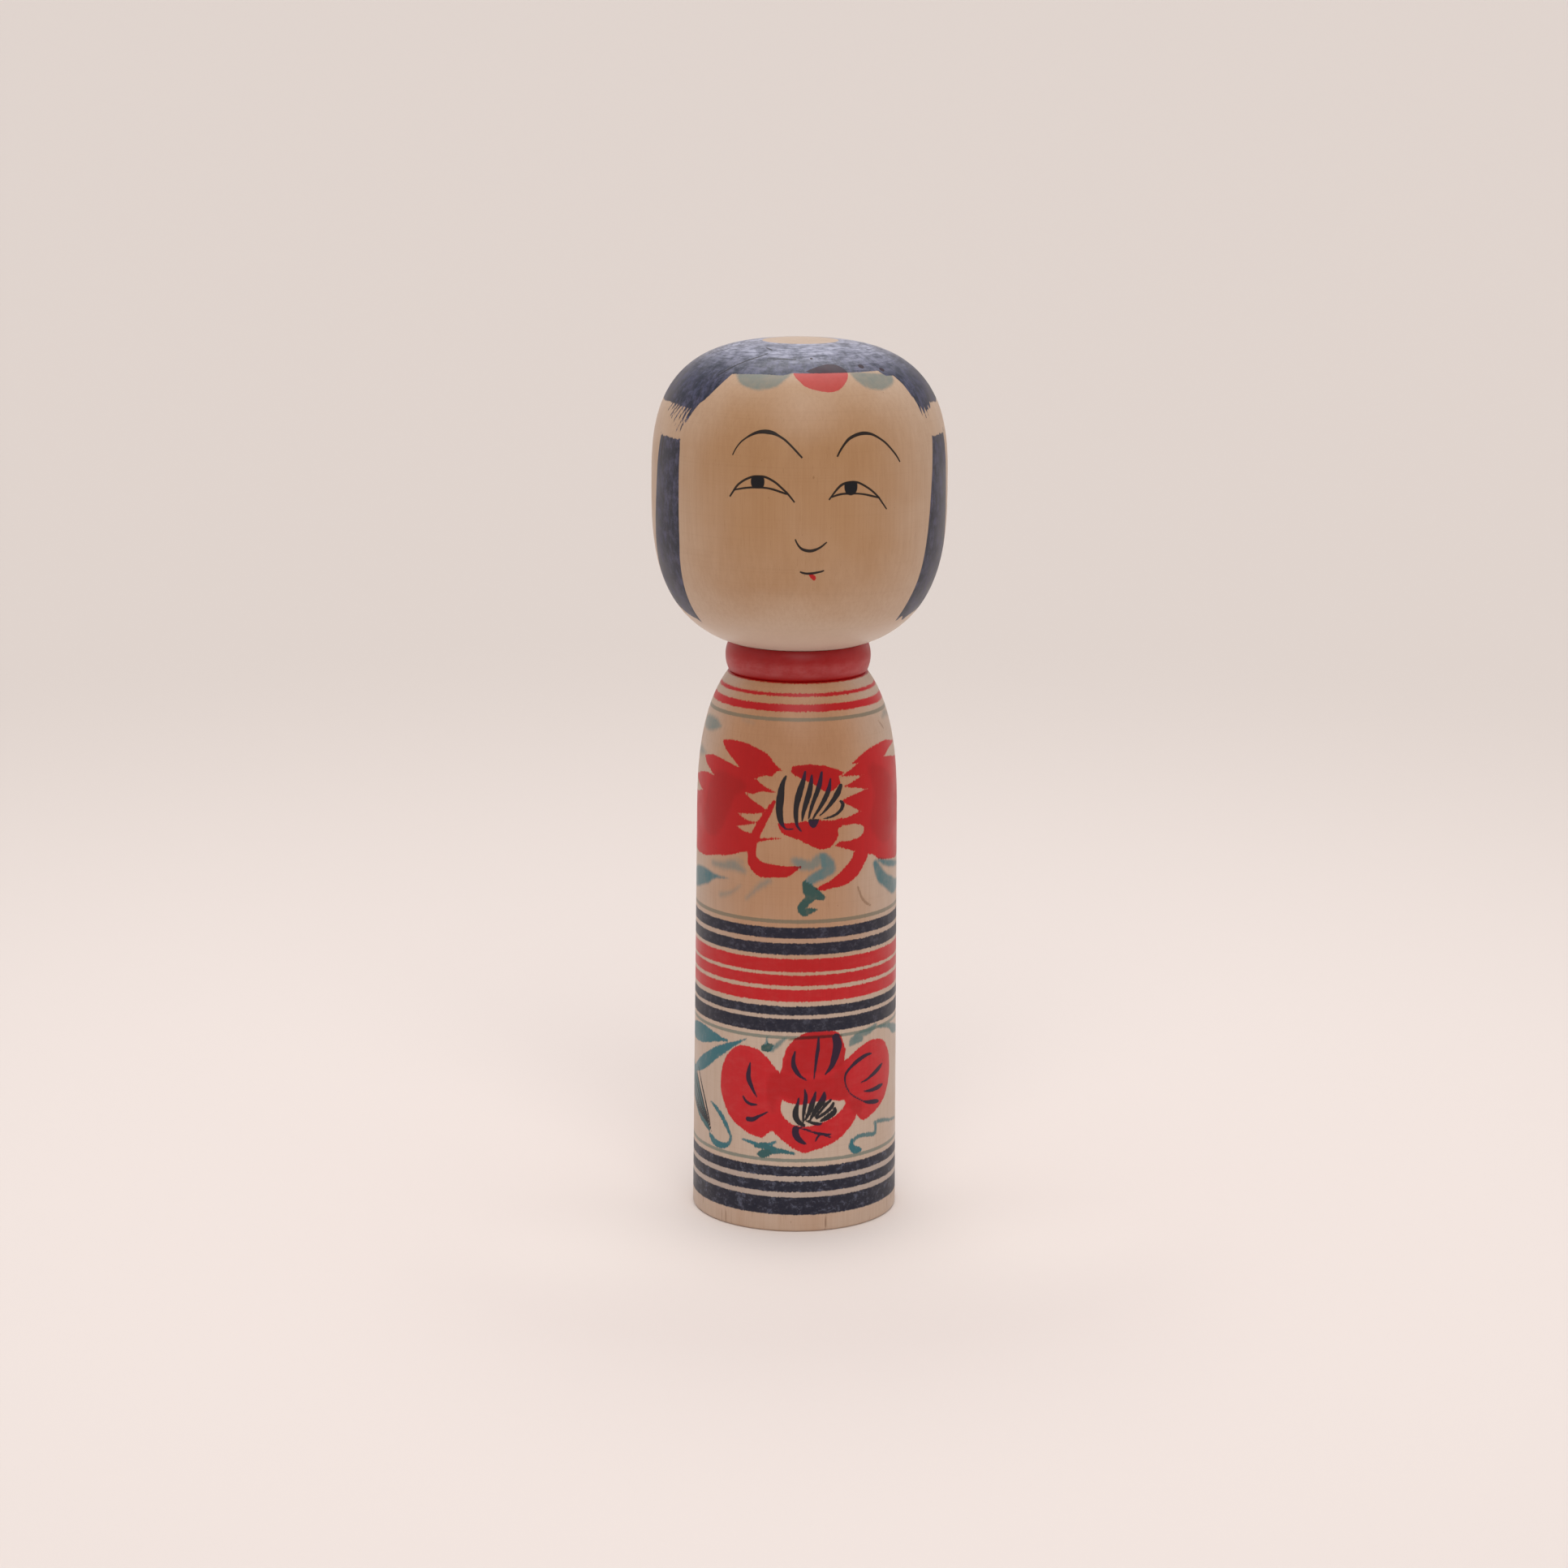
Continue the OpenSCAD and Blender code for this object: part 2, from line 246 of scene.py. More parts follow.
LOWER_BLACK = (
    # left petal
    ((-12.4, 47, 0.1), (-12.8, 44.5, 0.5), (-12.9, 42.8, 0.65), (-12.2, 41, 0.55), (-11.3, 39.2, 0.3),
     (-10.4, 37.7, 0.1)),
    ((-14.5, 37.3, 0.15), (-13.5, 36, 0.3), (-12, 35.4, 0.35), (-10.3, 35.5, 0.15)),
    ((-12.9, 31.1, 0.6), (-11.5, 31.2, 0.55), (-10, 32.1, 0.35), (-8.5, 33, 0.2), (-7.2, 33.8, 0.1)),
    # top petal
    ((0, 51, 0.15), (-0.4, 49, 0.4), (-0.3, 47, 0.6), (0.4, 45.5, 0.55), (1.4, 44.2, 0.35),
     (3.1, 43, 0.12)),
    ((6.3, 54.8, 0.2), (6.2, 52, 0.4), (5.9, 50, 0.4), (5.6, 47.5, 0.3), (5.1, 43.2, 0.1)),
    ((11.2, 54.5, 1), (11.7, 52.5, 1.2), (11.4, 50.5, 1.1), (10.8, 48.5, 0.9), (10, 46.5, 0.6),
     (8.2, 44.3, 0.1)),
    # right petal
    ((23.3, 48, 0.15), (21.5, 48, 0.4), (19.5, 47.5, 0.5), (17.5, 46.6, 0.5), (16, 45.6, 0.35),
     (14.5, 44.2, 0.25), (14, 42.8, 0.2), (14.2, 41, 0.15), (14.8, 39.5, 0.15), (16, 37.8, 0.15),
     (17.5, 36.7, 0.15), (20, 35.2, 0.15), (21.5, 34.6, 0.35), (23.5, 34.2, 0.55), (25.5, 33.9, 0.5),
     (26.5, 33.7, 0.2)),
    ((28.3, 44, 0.15), (27, 43.3, 0.55), (25.5, 42.6, 0.6), (23.5, 41.8, 0.45), (21.5, 41, 0.25),
     (19.2, 40.5, 0.1)),
    ((28.4, 38, 0.2), (26.8, 37.8, 0.6), (24.5, 37.6, 0.5), (22.5, 37.6, 0.35), (20.2, 37.9, 0.1)),
    # cup
    ((0.3, 29.3, 0.8), (0.3, 28, 0.85), (1, 26.6, 0.75), (2, 25.7, 0.5), (3.1, 25, 0.15)),
    ((1.2, 29.6, 0.1), (3, 29.1, 0.2), (5, 28.3, 0.2), (7, 27.7, 0.3), (10, 27.3, 0.1)),
    ((7, 27.8, 0.2), (6.2, 26.8, 0.2), (5.7, 25.7, 0.1)),
    ((7.5, 27.5, 0.2), (9.8, 26.5, 0.15)),
    # stamens
    ((1.1, 38, 0.15), (0.8, 36.3, 0.35), (0.3, 34.5, 0.65), (0.4, 32.5, 0.7), (1.4, 30.9, 0.5),
     (2.6, 30.3, 0.3)),
    ((2.6, 40.6, 0.1), (3, 38.5, 0.4), (2.8, 36.5, 0.5), (2.5, 34.5, 0.4), (2.2, 31, 0.1)),
    ((5.6, 39.6, 0.15), (5.2, 37.8, 0.5), (4.6, 36, 0.65), (4, 34.2, 0.55), (2.9, 31.8, 0.15)),
    ((8, 39.3, 0.2), (7.8, 37.8, 0.7), (6.8, 36, 0.8), (5.6, 34.2, 0.6), (4.2, 31.9, 0.2)),
    ((9.8, 37, 0.3), (8.6, 35.9, 0.35), (7.4, 34.6, 0.3), (5.7, 32.5, 0.2)),
    ((10.6, 36, 0.35), (10, 34.9, 0.45), (8.8, 33.9, 0.4), (7.5, 33, 0.35), (6, 32.2, 0.25)),
    ((11, 34.6, 0.3), (11, 33.6, 0.6), (10, 32.8, 0.7), (8.6, 32, 0.6), (7.2, 31.4, 0.3)),
    ((2.9, 31.7, 0.15), (4.5, 31, 0.3), (6, 30.6, 0.4), (7.2, 30.4, 0.2)),
)
LOWER_GREEN = (
    (0.62, ((-20, 52, 0.3), (-22, 51.9, 0.6), (-26, 51.9, 1.5), (-30, 51.6, 2.4), (-34, 51.2, 2.7),
            (-38, 50.7, 2.4), (-43, 50, 1.2))),
    (0.62, ((-13.5, 53.6, 0.1), (-16, 52.3, 0.4), (-18.5, 51, 0.8), (-22, 49, 1.3), (-26, 46.5, 1.6),
            (-30, 43.8, 1.9), (-34, 41.5, 1.5), (-38, 39.6, 0.8))),
    (0.7, ((-26.3, 33.2, 0.3), (-24, 32, 0.6), (-21.8, 30.3, 0.7), (-20, 28, 0.7), (-18.8, 26, 0.5),
           (-18.5, 24.5, 0.4), (-19.5, 22.6, 0.6), (-22, 21.9, 0.9), (-24.5, 22.2, 1),
           (-26, 23.2, 0.8), (-27, 24, 0.3))),
    (0.9, ((-8.4, 51.6, 0.9), (-7.2, 51.9, 1.2), (-6.4, 52.2, 0.6))),
    (0.5, ((-7.8, 52.6, 0.3), (-7.4, 55, 0.2))),
    (0.4, ((-6.3, 51, 0.5), (-4.5, 53, 0.7), (-2.8, 54.6, 0.5))),
    (0.44, ((15.8, 52, 0.7), (16.9, 52.9, 1.3), (19, 53, 1))),
    (0.42, ((17, 53.6, 0.8), (19.5, 54.4, 0.9), (22, 54.6, 1), (25, 55.6, 0.7))),
    (0.45, ((26, 55, 0.4), (32, 53.8, 0.8), (36, 52, 1.4), (42, 50.4, 1))),
    (0.6, ((-14.4, 25.1, 0.3), (-12, 24.7, 0.45), (-10.5, 24.5, 0.4))),
    (0.78, ((-10.6, 23.9, 0.5), (-8, 24.1, 1), (-6, 23.1, 1), (-3, 22.9, 0.6), (0, 22.3, 0.3))),
    (0.85, ((-9.6, 21.6, 0.6), (-8.5, 21.7, 1.1), (-6.8, 22.6, 1))),
    (0.6, ((-7, 24.5, 0.45), (-5.3, 25.4, 0.35))),
    (0.7, ((16.3, 24.8, 0.5), (16.2, 23, 0.8), (17, 22, 1), (18, 21.7, 1), (19.3, 21.5, 0.5))),
    (0.5, ((16.6, 24.4, 0.5), (18, 25.3, 0.6), (20, 25.5, 0.6), (22.5, 25.1, 0.6), (24.8, 25, 0.6),
           (25.2, 26.5, 0.6), (25, 28, 0.7))),
    (0.46, ((26, 28.1, 0.5), (29, 27.6, 0.6), (33, 26.6, 0.45), (39, 25.5, 0.4))),
)
FAN_BASE = (0.8, ((-42, 39.5, 2.2), (-38, 35.8, 3.5), (-34, 31.6, 3.3), (-30.4, 28, 2),
                  (-27.2, 25.2, 0.5)))
# First and last hair-fine stroke of the fan of grass, and how many there are
FAN_ENDS = (
    ((-34.5, 41, 0.3), (-32, 37, 0.4), (-29.6, 33, 0.42), (-28, 29.8, 0.4), (-26.9, 27, 0.3),
     (-25.8, 24.3, 0.12)),
    ((-43, 34, 0.25), (-40, 32, 0.35), (-37, 30.4, 0.35), (-34, 29, 0.35), (-31, 27.8, 0.25),
     (-28.5, 26.8, 0.1)),
)
FAN_COUNT = 6

# ======== What is painted on the head: (across, millimetres down from the crown) ========

# Lower edge of the hair cap
CAP_EDGE = (
    (-64, 41.8), (-56, 42.4), (-48, 42.2), (-43, 42.2), (-39, 42.6), (-36, 42.8), (-34, 42.2), (-31, 40),
    (-29, 37.3), (-27.5, 35), (-25.4, 31.2), (-24, 31), (-14, 30.5),
    (-6, 30.7), (-3, 29.8), (17.5, 29.8), (31, 29.9), (32, 31.3), (33, 31.9), (36.5, 32.2),
    (37.5, 34), (38.3, 36), (39, 38), (40, 40.5), (40.6, 42.6), (41.1, 44.2), (41.8, 42.2),
    (42.8, 44.5), (43.8, 42), (45, 44.3), (46.2, 42), (47.4, 43.8), (49, 41.8), (56, 42.4), (64, 41.8),
)
LEFT_LOCK = (
    (-37.5, 51.2), (-37.5, 51.2), (-36.7, 54), (-36.6, 65), (-36.6, 76), (-37.3, 82), (-38.3, 90),
    (-39.2, 100), (-39.6, 103), (-41, 102), (-46, 101), (-56, 98), (-60, 95), (-57.5, 90), (-55, 85),
    (-52, 75), (-50, 62), (-48.7, 51), (-48.7, 51),
)
RIGHT_LOCK = (
    (44, 50.5), (44, 50.5), (43, 57), (41.8, 68), (40.8, 78), (39.8, 88), (38.3, 96), (38, 101.5),
    (40.5, 100), (43, 102), (46, 100.5), (56, 99), (66, 96), (63, 88), (57, 78), (55, 65), (54.5, 50.5),
    (54.5, 50.5),
)
# A dark crack down the left lock, drawn in the crack ink.
LOCK_CRACK = ((-46.5, 50, 0.4), (-46.6, 54, 0.35), (-46.8, 58.5, 0.1))
HAIR_CRACKS = (
    ((-17.5, 20.5, 0.15), (-19.5, 22.5, 0.2), (-22, 24, 0.2), (-26, 27, 0.18), (-31, 32, 0.1)),
    ((-24, 16, 0.1), (-20, 17, 0.2), (-17, 18, 0.1)),
    ((-15, 23.6, 0.1), (-8, 23.4, 0.15), (-2, 23.5, 0.1)),
)
# Dry tips that the brush left under the cap's edge, and their half width at the start and the end
HAIR_TIPS = (
    ((-33, 41), (-36.2, 46.8)), ((-34.4, 42), (-38, 49)), ((-35.8, 42), (-40, 49.8)),
    ((-37.2, 42), (-41, 48)), ((-38.7, 41.5), (-42.8, 47.8)), ((-40.2, 41.5), (-43.8, 46)),
    ((-41.6, 41.5), (-45, 45.6)), ((-43.4, 41.5), (-46.4, 44.8)), ((-45.4, 41.5), (-48, 44.6)),
    ((40.4, 40.5), (41.4, 44.8)), ((41.8, 41), (43, 45.4)), ((43.4, 41), (44.8, 45)),
    ((45, 41), (46.6, 44.6)),
)
TIP_START, TIP_END = 0.45, 0.1
CROWN_BARE_R = 10.1
LENS = ((2, 29), (2, 29), (6, 27.3), (10, 26.1), (12, 26), (14, 26.2), (15.5, 26.9), (16.7, 28),
        (17.6, 29.6), (17.6, 29.6), (16, 30.2), (6, 30.2))
FORELOCK_RED = ((-2.8, 29.6), (-2.8, 29.6), (-1.5, 31.5), (0, 33), (1.5, 34.3), (3.5, 35.2), (6, 35.8),
                (8.5, 36.2), (10.5, 36.1), (12.5, 35.5), (14.3, 34.2), (15.8, 32.8), (17, 31.3),
                (17.5, 29.5), (16.7, 28), (15.5, 26.9), (12, 26), (8, 26.7), (2, 28.8))
FORELOCK_GREEN = (
    (0.3, ((-24.4, 30.5), (-24.4, 30.5), (-22.4, 32.6), (-20, 34.5), (-16, 35.7), (-12, 36),
            (-12.4, 33), (-12.6, 29.5), (-12.6, 29.5))),
    (0.26, ((-15.5, 29.5), (-15.5, 29.5), (-15, 33), (-14, 35.6), (-12, 36), (-8, 35), (-6, 33.6), (-3, 30.3),
           (-3, 29.5))),
    (0.26, ((17.8, 29.5), (17.8, 29.5), (19, 32.6), (20.5, 34.3), (22.5, 35.5), (23.5, 32),
           (22.5, 29.5), (22.5, 29.5))),
    (0.28, ((21.6, 29.5), (21.6, 29.5), (22.2, 35.3), (25, 36.2), (28, 36.5), (33, 35.2),
            (35.4, 33.6), (36.4, 31.4), (36.4, 31.4))),
)
HAIR_MARKS = ((5, 23, 0.5), (25, 27.6, 0.9), (33.5, 29.6, 0.8))

LINE_WIDER = 0.08
# Fine ink lines, in three sets so that no two lines of a set come close: (across, down, half width)
BROWS_AND_NOSE = (
    ((-18.2, 53.6, 0.08), (-17.3, 51.8, 0.1), (-16, 50.1, 0.12), (-14.5, 48.9, 0.15), (-13, 48, 0.25),
     (-11.5, 47.4, 0.35), (-10, 47.15, 0.45), (-8.5, 47.2, 0.5), (-7, 47.5, 0.4), (-5.5, 48.2, 0.22),
     (-4, 49.1, 0.2), (-2.5, 50.4, 0.18), (-1, 51.9, 0.18), (0.7, 53.7, 0.15)),
    ((9.9, 53.5, 0.15), (10.8, 51.9, 0.18), (12, 50.3, 0.22), (13.2, 49.1, 0.3), (14.5, 48.4, 0.33),
     (16, 47.9, 0.36), (17.5, 47.7, 0.38), (19, 47.8, 0.33), (20.5, 48.2, 0.25), (22.5, 49.3, 0.2),
     (24.3, 50.6, 0.2), (26, 52.3, 0.18), (27.5, 54, 0.17), (28.7, 55.8, 0.12)),
    ((-1, 74.8, 0.1), (-0.5, 75.9, 0.15), (0.2, 76.9, 0.2), (1, 77.5, 0.28), (2, 77.8, 0.33),
     (3, 77.9, 0.33), (4, 77.7, 0.3), (5, 77.3, 0.22), (6, 76.7, 0.18), (7.3, 75.6, 0.1)),
)
UPPER_LIDS_AND_MOUTH = (
    ((-18.7, 64.4, 0.15), (-17.6, 62.8, 0.18), (-16.5, 61.3, 0.2), (-15, 60.1, 0.2), (-13.5, 59.3, 0.21),
     (-12, 58.8, 0.22), (-10.5, 58.7, 0.22), (-9, 58.8, 0.22), (-7.5, 59.4, 0.21), (-6, 60.3, 0.2),
     (-4.5, 61.6, 0.19), (-3, 63, 0.18), (-1.2, 65.2, 0.12)),
    ((7.7, 64.6, 0.12), (8.6, 63.4, 0.15), (9.8, 61.9, 0.2), (11, 60.8, 0.25), (12.3, 60.3, 0.25),
     (14, 60.1, 0.22), (15.5, 60.3, 0.2), (17, 61, 0.19), (18.5, 61.9, 0.18), (20, 63, 0.18),
     (21.5, 64.4, 0.17), (22.7, 65.9, 0.15), (24.2, 67.8, 0.1)),
    ((0.3, 83.5, 0.1), (1, 83.8, 0.2), (2, 84, 0.22), (3, 84, 0.25), (4, 83.9, 0.25), (5, 83.7, 0.2),
     (6, 83.5, 0.18), (6.8, 83.2, 0.1)),
)
LOWER_LIDS = (
    ((-17.7, 62.6, 0.12), (-15, 62, 0.17), (-13, 61.7, 0.18), (-11, 61.6, 0.18), (-9, 61.6, 0.18),
     (-7, 61.9, 0.19), (-5, 62.5, 0.2), (-3.2, 63.1, 0.15)),
    ((8.4, 63.9, 0.12), (9.8, 63.4, 0.2), (11.5, 63.1, 0.2), (13.5, 63.1, 0.2), (15.5, 63.2, 0.15),
     (17.5, 63.5, 0.17), (19.5, 64, 0.2), (22, 64.7, 0.12)),
)
PUPILS = (
    ((-12.5, 58.9), (-12.8, 60.3), (-12.3, 61.6), (-10.9, 61.8), (-9.5, 61.5), (-9.1, 60.2), (-9.4, 58.9),
     (-10.9, 58.6)),
    ((12, 60.2), (11.8, 61.7), (12.3, 63), (13.6, 63.6), (14.9, 63), (15.4, 61.7), (15.2, 60.2),
     (13.7, 59.9)),
)
MOUTH_DOT = ((3.2, 84.4, 0.5), (4, 85.2, 0.65), (4.3, 85.8, 0.2))


# How amber the wood is down the middle of the front, at chart heights. The values are partly aged wood and
# partly painted light and shade: highest on the shoulder, as painted shade under the collar and head, and
# falling to nothing at the head's crown and chin, which are painted lighter where they face up and down
BODY_AMBER_AND_SHADE = ((0, 0.4), (4, 0.4), (20, 0.05), (56, 0.08), (86, 0.9), (110, 1), (136, 1.3), (150, 1.15))
HEAD_AMBER_AND_SHADE = ((0, 0), (12, 0), (30, 0.4), (40, 0.8), (52, 1.1), (70, 0.95), (88, 0.75), (100, 0.15), (118, 0))


# ======== Painting on a chart ========

def smooth_path(knots, closed=False, steps=5):
    """Points along a smooth curve through the knots, which hold any number of values each."""
    knots = np.array(knots, float)
    if closed:
        ends = np.vstack([knots[-1:], knots, knots[:2]])
    else:
        ends = np.vstack([2 * knots[0] - knots[1], knots, 2 * knots[-1] - knots[-2]])
    t = (np.arange(steps) / steps)[:, None]
    curve = [
        (2 * b + (c - a) * t + (2 * a - 5 * b + 4 * c - d) * t ** 2 + (3 * b - a - 3 * c + d) * t ** 3) / 2
        for a, b, c, d in zip(ends, ends[1:], ends[2:], ends[3:])
    ]
    return np.vstack(curve if closed else curve + [knots[-1:]])


def along_segment(x, y, a, b):
    """Unlimited share of the way from a to b, the length of a to b, and the signed side of that line."""
    run = b[:2] - a[:2]
    length = max(np.hypot(*run), 1e-6)
    share = ((x - a[0]) * run[0] + (y - a[1]) * run[1]) / length ** 2
    side = (run[0] * (y - a[1]) - run[1] * (x - a[0])) / length
    return share, length, side


def segment_gap(x, y, a, b):
    """Distance to the segment from a to b, and the share of the way along it."""
    share = np.clip(along_segment(x, y, a, b)[0], 0, 1)
    run = b[:2] - a[:2]
    return np.hypot(x - a[0] - share * run[0], y - a[1] - share * run[1]), share


class Canvas:
    """Paint on an unrolled surface. Each ink has a depth in mm, above zero inside the paint."""

    def __init__(self, across, along):
        self.across, self.along = np.array(across), np.array(along)
        self.depth, self.tone = {}, {}

    def ink(self, name):
        size = (len(self.along), len(self.across))
        self.tone.setdefault(name, np.zeros(size))
        return self.depth.setdefault(name, np.full(size, -REACH))

    def near(self, path, reach):
        """Index of the grid points round a path, and their places."""
        low, high = path.min(0) - reach, path.max(0) + reach
        cols = np.flatnonzero((self.across > low[0]) & (self.across < high[0]))
        rows = np.flatnonzero((self.along > low[1]) & (self.along < high[1]))
        return np.ix_(rows, cols), self.across[cols][None, :], self.along[rows][:, None]

    def lay(self, name, spot, depth, tone):
        under = self.ink(name)[spot]
        self.tone[name][spot] = np.where(depth > under, tone, self.tone[name][spot])
        self.depth[name][spot] = np.maximum(under, depth)

    def stroke(self, name, knots, tone=1.0, wider=0.0):
        path = smooth_path(knots) + (0, 0, wider)
        spot, x, y = self.near(path[:, :2], REACH + path[:, 2].max())
        depth = np.full(np.broadcast(x, y).shape, -REACH)
        for a, b in zip(path, path[1:]):
            gap, share = segment_gap(x, y, a, b)
            depth = np.maximum(depth, a[2] + share * (b[2] - a[2]) - gap)
        self.lay(name, spot, depth, tone)

    def shape(self, name, outline, tone=1.0):
        ring = smooth_path(outline, closed=True, steps=3)
        spot, x, y = self.near(ring, REACH)
        gap = np.full(np.broadcast(x, y).shape, 99.0)
        inside = np.zeros(gap.shape, bool)
        for a, b in zip(ring, np.roll(ring, -1, 0)):
            gap = np.minimum(gap, segment_gap(x, y, a, b)[0])
            crosses = (a[1] > y) != (b[1] > y)
            inside ^= crosses & (x < a[0] + (y - a[1]) * (b[0] - a[0]) / (b[1] - a[1] or 1e-9))
        self.lay(name, spot, np.where(inside, gap, -gap).clip(-REACH), tone)

    def band(self, name, low, high, tone=1.0):
        depth = np.minimum(self.along - low, high - self.along).clip(-REACH)
        spot = np.ix_(np.arange(len(self.along)), np.arange(len(self.across)))
        self.lay(name, spot, np.repeat(depth[:, None], len(self.across), 1), tone)

    def fine_lines(self, lines):
        """(sideways, half width, overrun) of the nearest line, so that a line may be finer than the grid."""
        reach, found_reach = 2.0, np.full((len(self.along), len(self.across)), 2.0)
        found = np.tile(np.array((9.0, 0.1, 10.0)), (*found_reach.shape, 1))
        for knots in lines:
            path = smooth_path(knots)
            lengths = np.hypot(*np.diff(path[:, :2], axis=0).T)
            spot, x, y = self.near(path[:, :2], reach)
            for i, (a, b) in enumerate(zip(path, path[1:])):
                share, length, side = along_segment(x, y, a, b)
                gap, held = segment_gap(x, y, a, b)
                overrun = -np.minimum(lengths[:i].sum() + held * length,
                                      lengths[i:].sum() - held * length).clip(0, 1)
                off_end = np.full(gap.shape, -1.0)
                if i == 0:
                    off_end = -share * length
                if i == len(path) - 2:
                    off_end = (share - 1) * length
                sideways = np.where(off_end > 0, side, np.copysign(gap, side))
                overrun = np.where(off_end > 0, off_end, overrun)
                width = a[2] + held * (b[2] - a[2]) + LINE_WIDER
                closer = gap < found_reach[spot]
                entry = np.stack([sideways, width, overrun], -1)
                found[spot] = np.where(closer[..., None], entry, found[spot])
                found_reach[spot] = np.where(closer, gap, found_reach[spot])
        return found


def amber_and_shade(canvas, heights, middle, start, end):
    """How amber the wood is, with painted shade in it: most in the middle of the front, and paler round the
    sides, which is painted light.
    """
    down = np.interp(canvas.along, *np.array(heights).T)
    share = np.clip((np.abs(canvas.across - middle) - start) / (end - start), 0, 1)
    return down[:, None] * (1 - 0.75 * share * share * (3 - 2 * share))[None, :]


def paint_body(across, along):
    canvas = Canvas(across, along)
    for name, bands in BANDS.items():
        for low, high in bands:
            canvas.band(name, low, high)
    outlines = {"red": UPPER_RED + LOWER_RED, "deep": UPPER_DEEP + LOWER_DEEP, "stroke": (UPPER_DOT,)}
    strokes = {"stroke": UPPER_BLACK + LOWER_BLACK, "faint": FAINT_STROKES}
    for ink, shapes in outlines.items():
        for outline in shapes:
            canvas.shape(ink, outline)
    for knots in UPPER_RED_STROKES:
        canvas.stroke("red", knots)
    for ink, paths in strokes.items():
        for knots in paths:
            canvas.stroke(ink, knots, wider=0.1)
    for tone, knots in UPPER_GREEN + LOWER_GREEN + (FAN_BASE,):
        canvas.stroke("green", knots, tone, wider=0.1)
    first, last = np.array(FAN_ENDS)
    for i in range(FAN_COUNT):
        canvas.stroke("stroke", first + (last - first) * i / (FAN_COUNT - 1), wider=-0.05)
    return canvas


def paint_head(across, along):
    canvas = Canvas(across, along)
    edge_x, edge_s = np.array(CAP_EDGE).T
    edge = np.interp(canvas.across, edge_x, edge_s)
    slope = np.hypot(1, np.gradient(edge, canvas.across))
    whole = np.ix_(np.arange(len(along)), np.arange(len(across)))
    cap = (edge[None, :] - canvas.along[:, None]) / slope[None, :]
    cap = np.minimum(cap, canvas.along[:, None] - CROWN_BARE_R)
    canvas.lay("hair", whole, cap.clip(-REACH, 4), 1.0)
    for outline in (LEFT_LOCK, RIGHT_LOCK):
        canvas.shape("hair", outline)
    for knots in HAIR_CRACKS + (LOCK_CRACK,):
        canvas.stroke("crack", knots, wider=0.2)
    for (x0, s0), (x1, s1) in HAIR_TIPS:
        middle = ((x0 + x1) / 2, (s0 + s1) / 2, (TIP_START + TIP_END) / 2)
        canvas.stroke("hair", ((x0, s0, TIP_START), middle, (x1, s1, TIP_END)))
    canvas.shape("lens", LENS)
    for x, s, r in HAIR_MARKS:
        canvas.stroke("lens", ((x - r, s, r / 2), (x, s, r), (x + r, s, r / 2)))
    canvas.shape("red", FORELOCK_RED)
    canvas.stroke("red", MOUTH_DOT)
    for tone, outline in FORELOCK_GREEN:
        canvas.shape("green", outline, tone)
    for outline in PUPILS:
        canvas.shape("pupil", outline)
    return canvas


# ======== Turned meshes ========

def spread(marks, spacing):
    """Values from the first mark to the last, through every mark, at most spacing(value) apart."""
    values = [marks[0]]
    for a, b in zip(marks, marks[1:]):
        steps = max(1, ceil((b - a) / spacing((a + b) / 2) - 1e-6))
        values += [a + (b - a) * (i + 1) / steps for i in range(steps)]
    return values


def tenon_side(gap, bottom_z, chamfer):
    """Side of the tenon, or of its socket when grown by a gap, from the bottom up."""
    turns = np.linspace(-1, 1, 13)
    bead = [(TENON_R + gap + BEAD_RISE * (1 + cos(pi * t)) / 2, BEAD_Z + BEAD_HALF * t) for t in turns]
    return ([(TENON_R + gap - chamfer, bottom_z), (TENON_R + gap, bottom_z + chamfer)] + bead
            + [(TENON_R + gap, SEAT_Z)])


def trunk_heights():
    """Heights of the body's rings: one at each band's edges and middle, and close ones at the flowers."""
    marks = {FOOT_ROUND, GROOVE_Z}
    edges = sorted({z for bands in BANDS.values() for band in bands for z in band if z < GROOVE_Z})
    marks.update(edges)
    marks.update((a + b) / 2 for a, b in zip(edges, edges[1:]) if b - a < 6)

    def spacing(z):
        flower = 20.7 < z < 57 or 87.5 < z < 136
        return 0.45 if flower else 1.3

    return spread(sorted(marks), spacing)


def body_rings():
    """(radius, z, chart height) of the body's rings: base, trunk, collar, and down the socket."""
    foot_r = trunk_at(FOOT_ROUND)
    base = [(foot_r * share, 0, OFF_BODY) for share in (0.15, 0.4, 0.65, 0.85)]
    turns = [radians(a) for a in (0, 18, 36, 54, 72)]
    foot = [(foot_r - FOOT_ROUND * (1 - sin(a)), FOOT_ROUND * (1 - cos(a)), 0.3) for a in turns]
    trunk = [(trunk_at(z), z, z) for z in trunk_heights()]
    foot_z = GROOVE_Z + GROOVE_W
    groove_mid = (GROOVE_Z + foot_z) / 2
    groove = [(COLLAR_END_R - GROOVE_DEPTH, groove_mid, groove_mid)]
    mid, half = (foot_z + COLLAR_TOP) / 2, (COLLAR_TOP - foot_z) / 2
    collar = [(COLLAR_END_R + (COLLAR_R - COLLAR_END_R) * (1 - t * t), mid + half * t, mid + half * t)
              for t in np.linspace(-1, 1, 15)]
    top = [(r, COLLAR_TOP, OFF_BODY) for r in (17.6, 13)]
    side = tenon_side(NECK_CLEARANCE, TENON_END - SOCKET_SPARE, FLOOR_CHAMFER)
    side[-1] = (side[-1][0], COLLAR_TOP)
    socket = [(r, z, OFF_BODY) for r, z in reversed(side)]
    return base + foot + trunk + groove + collar + top + socket


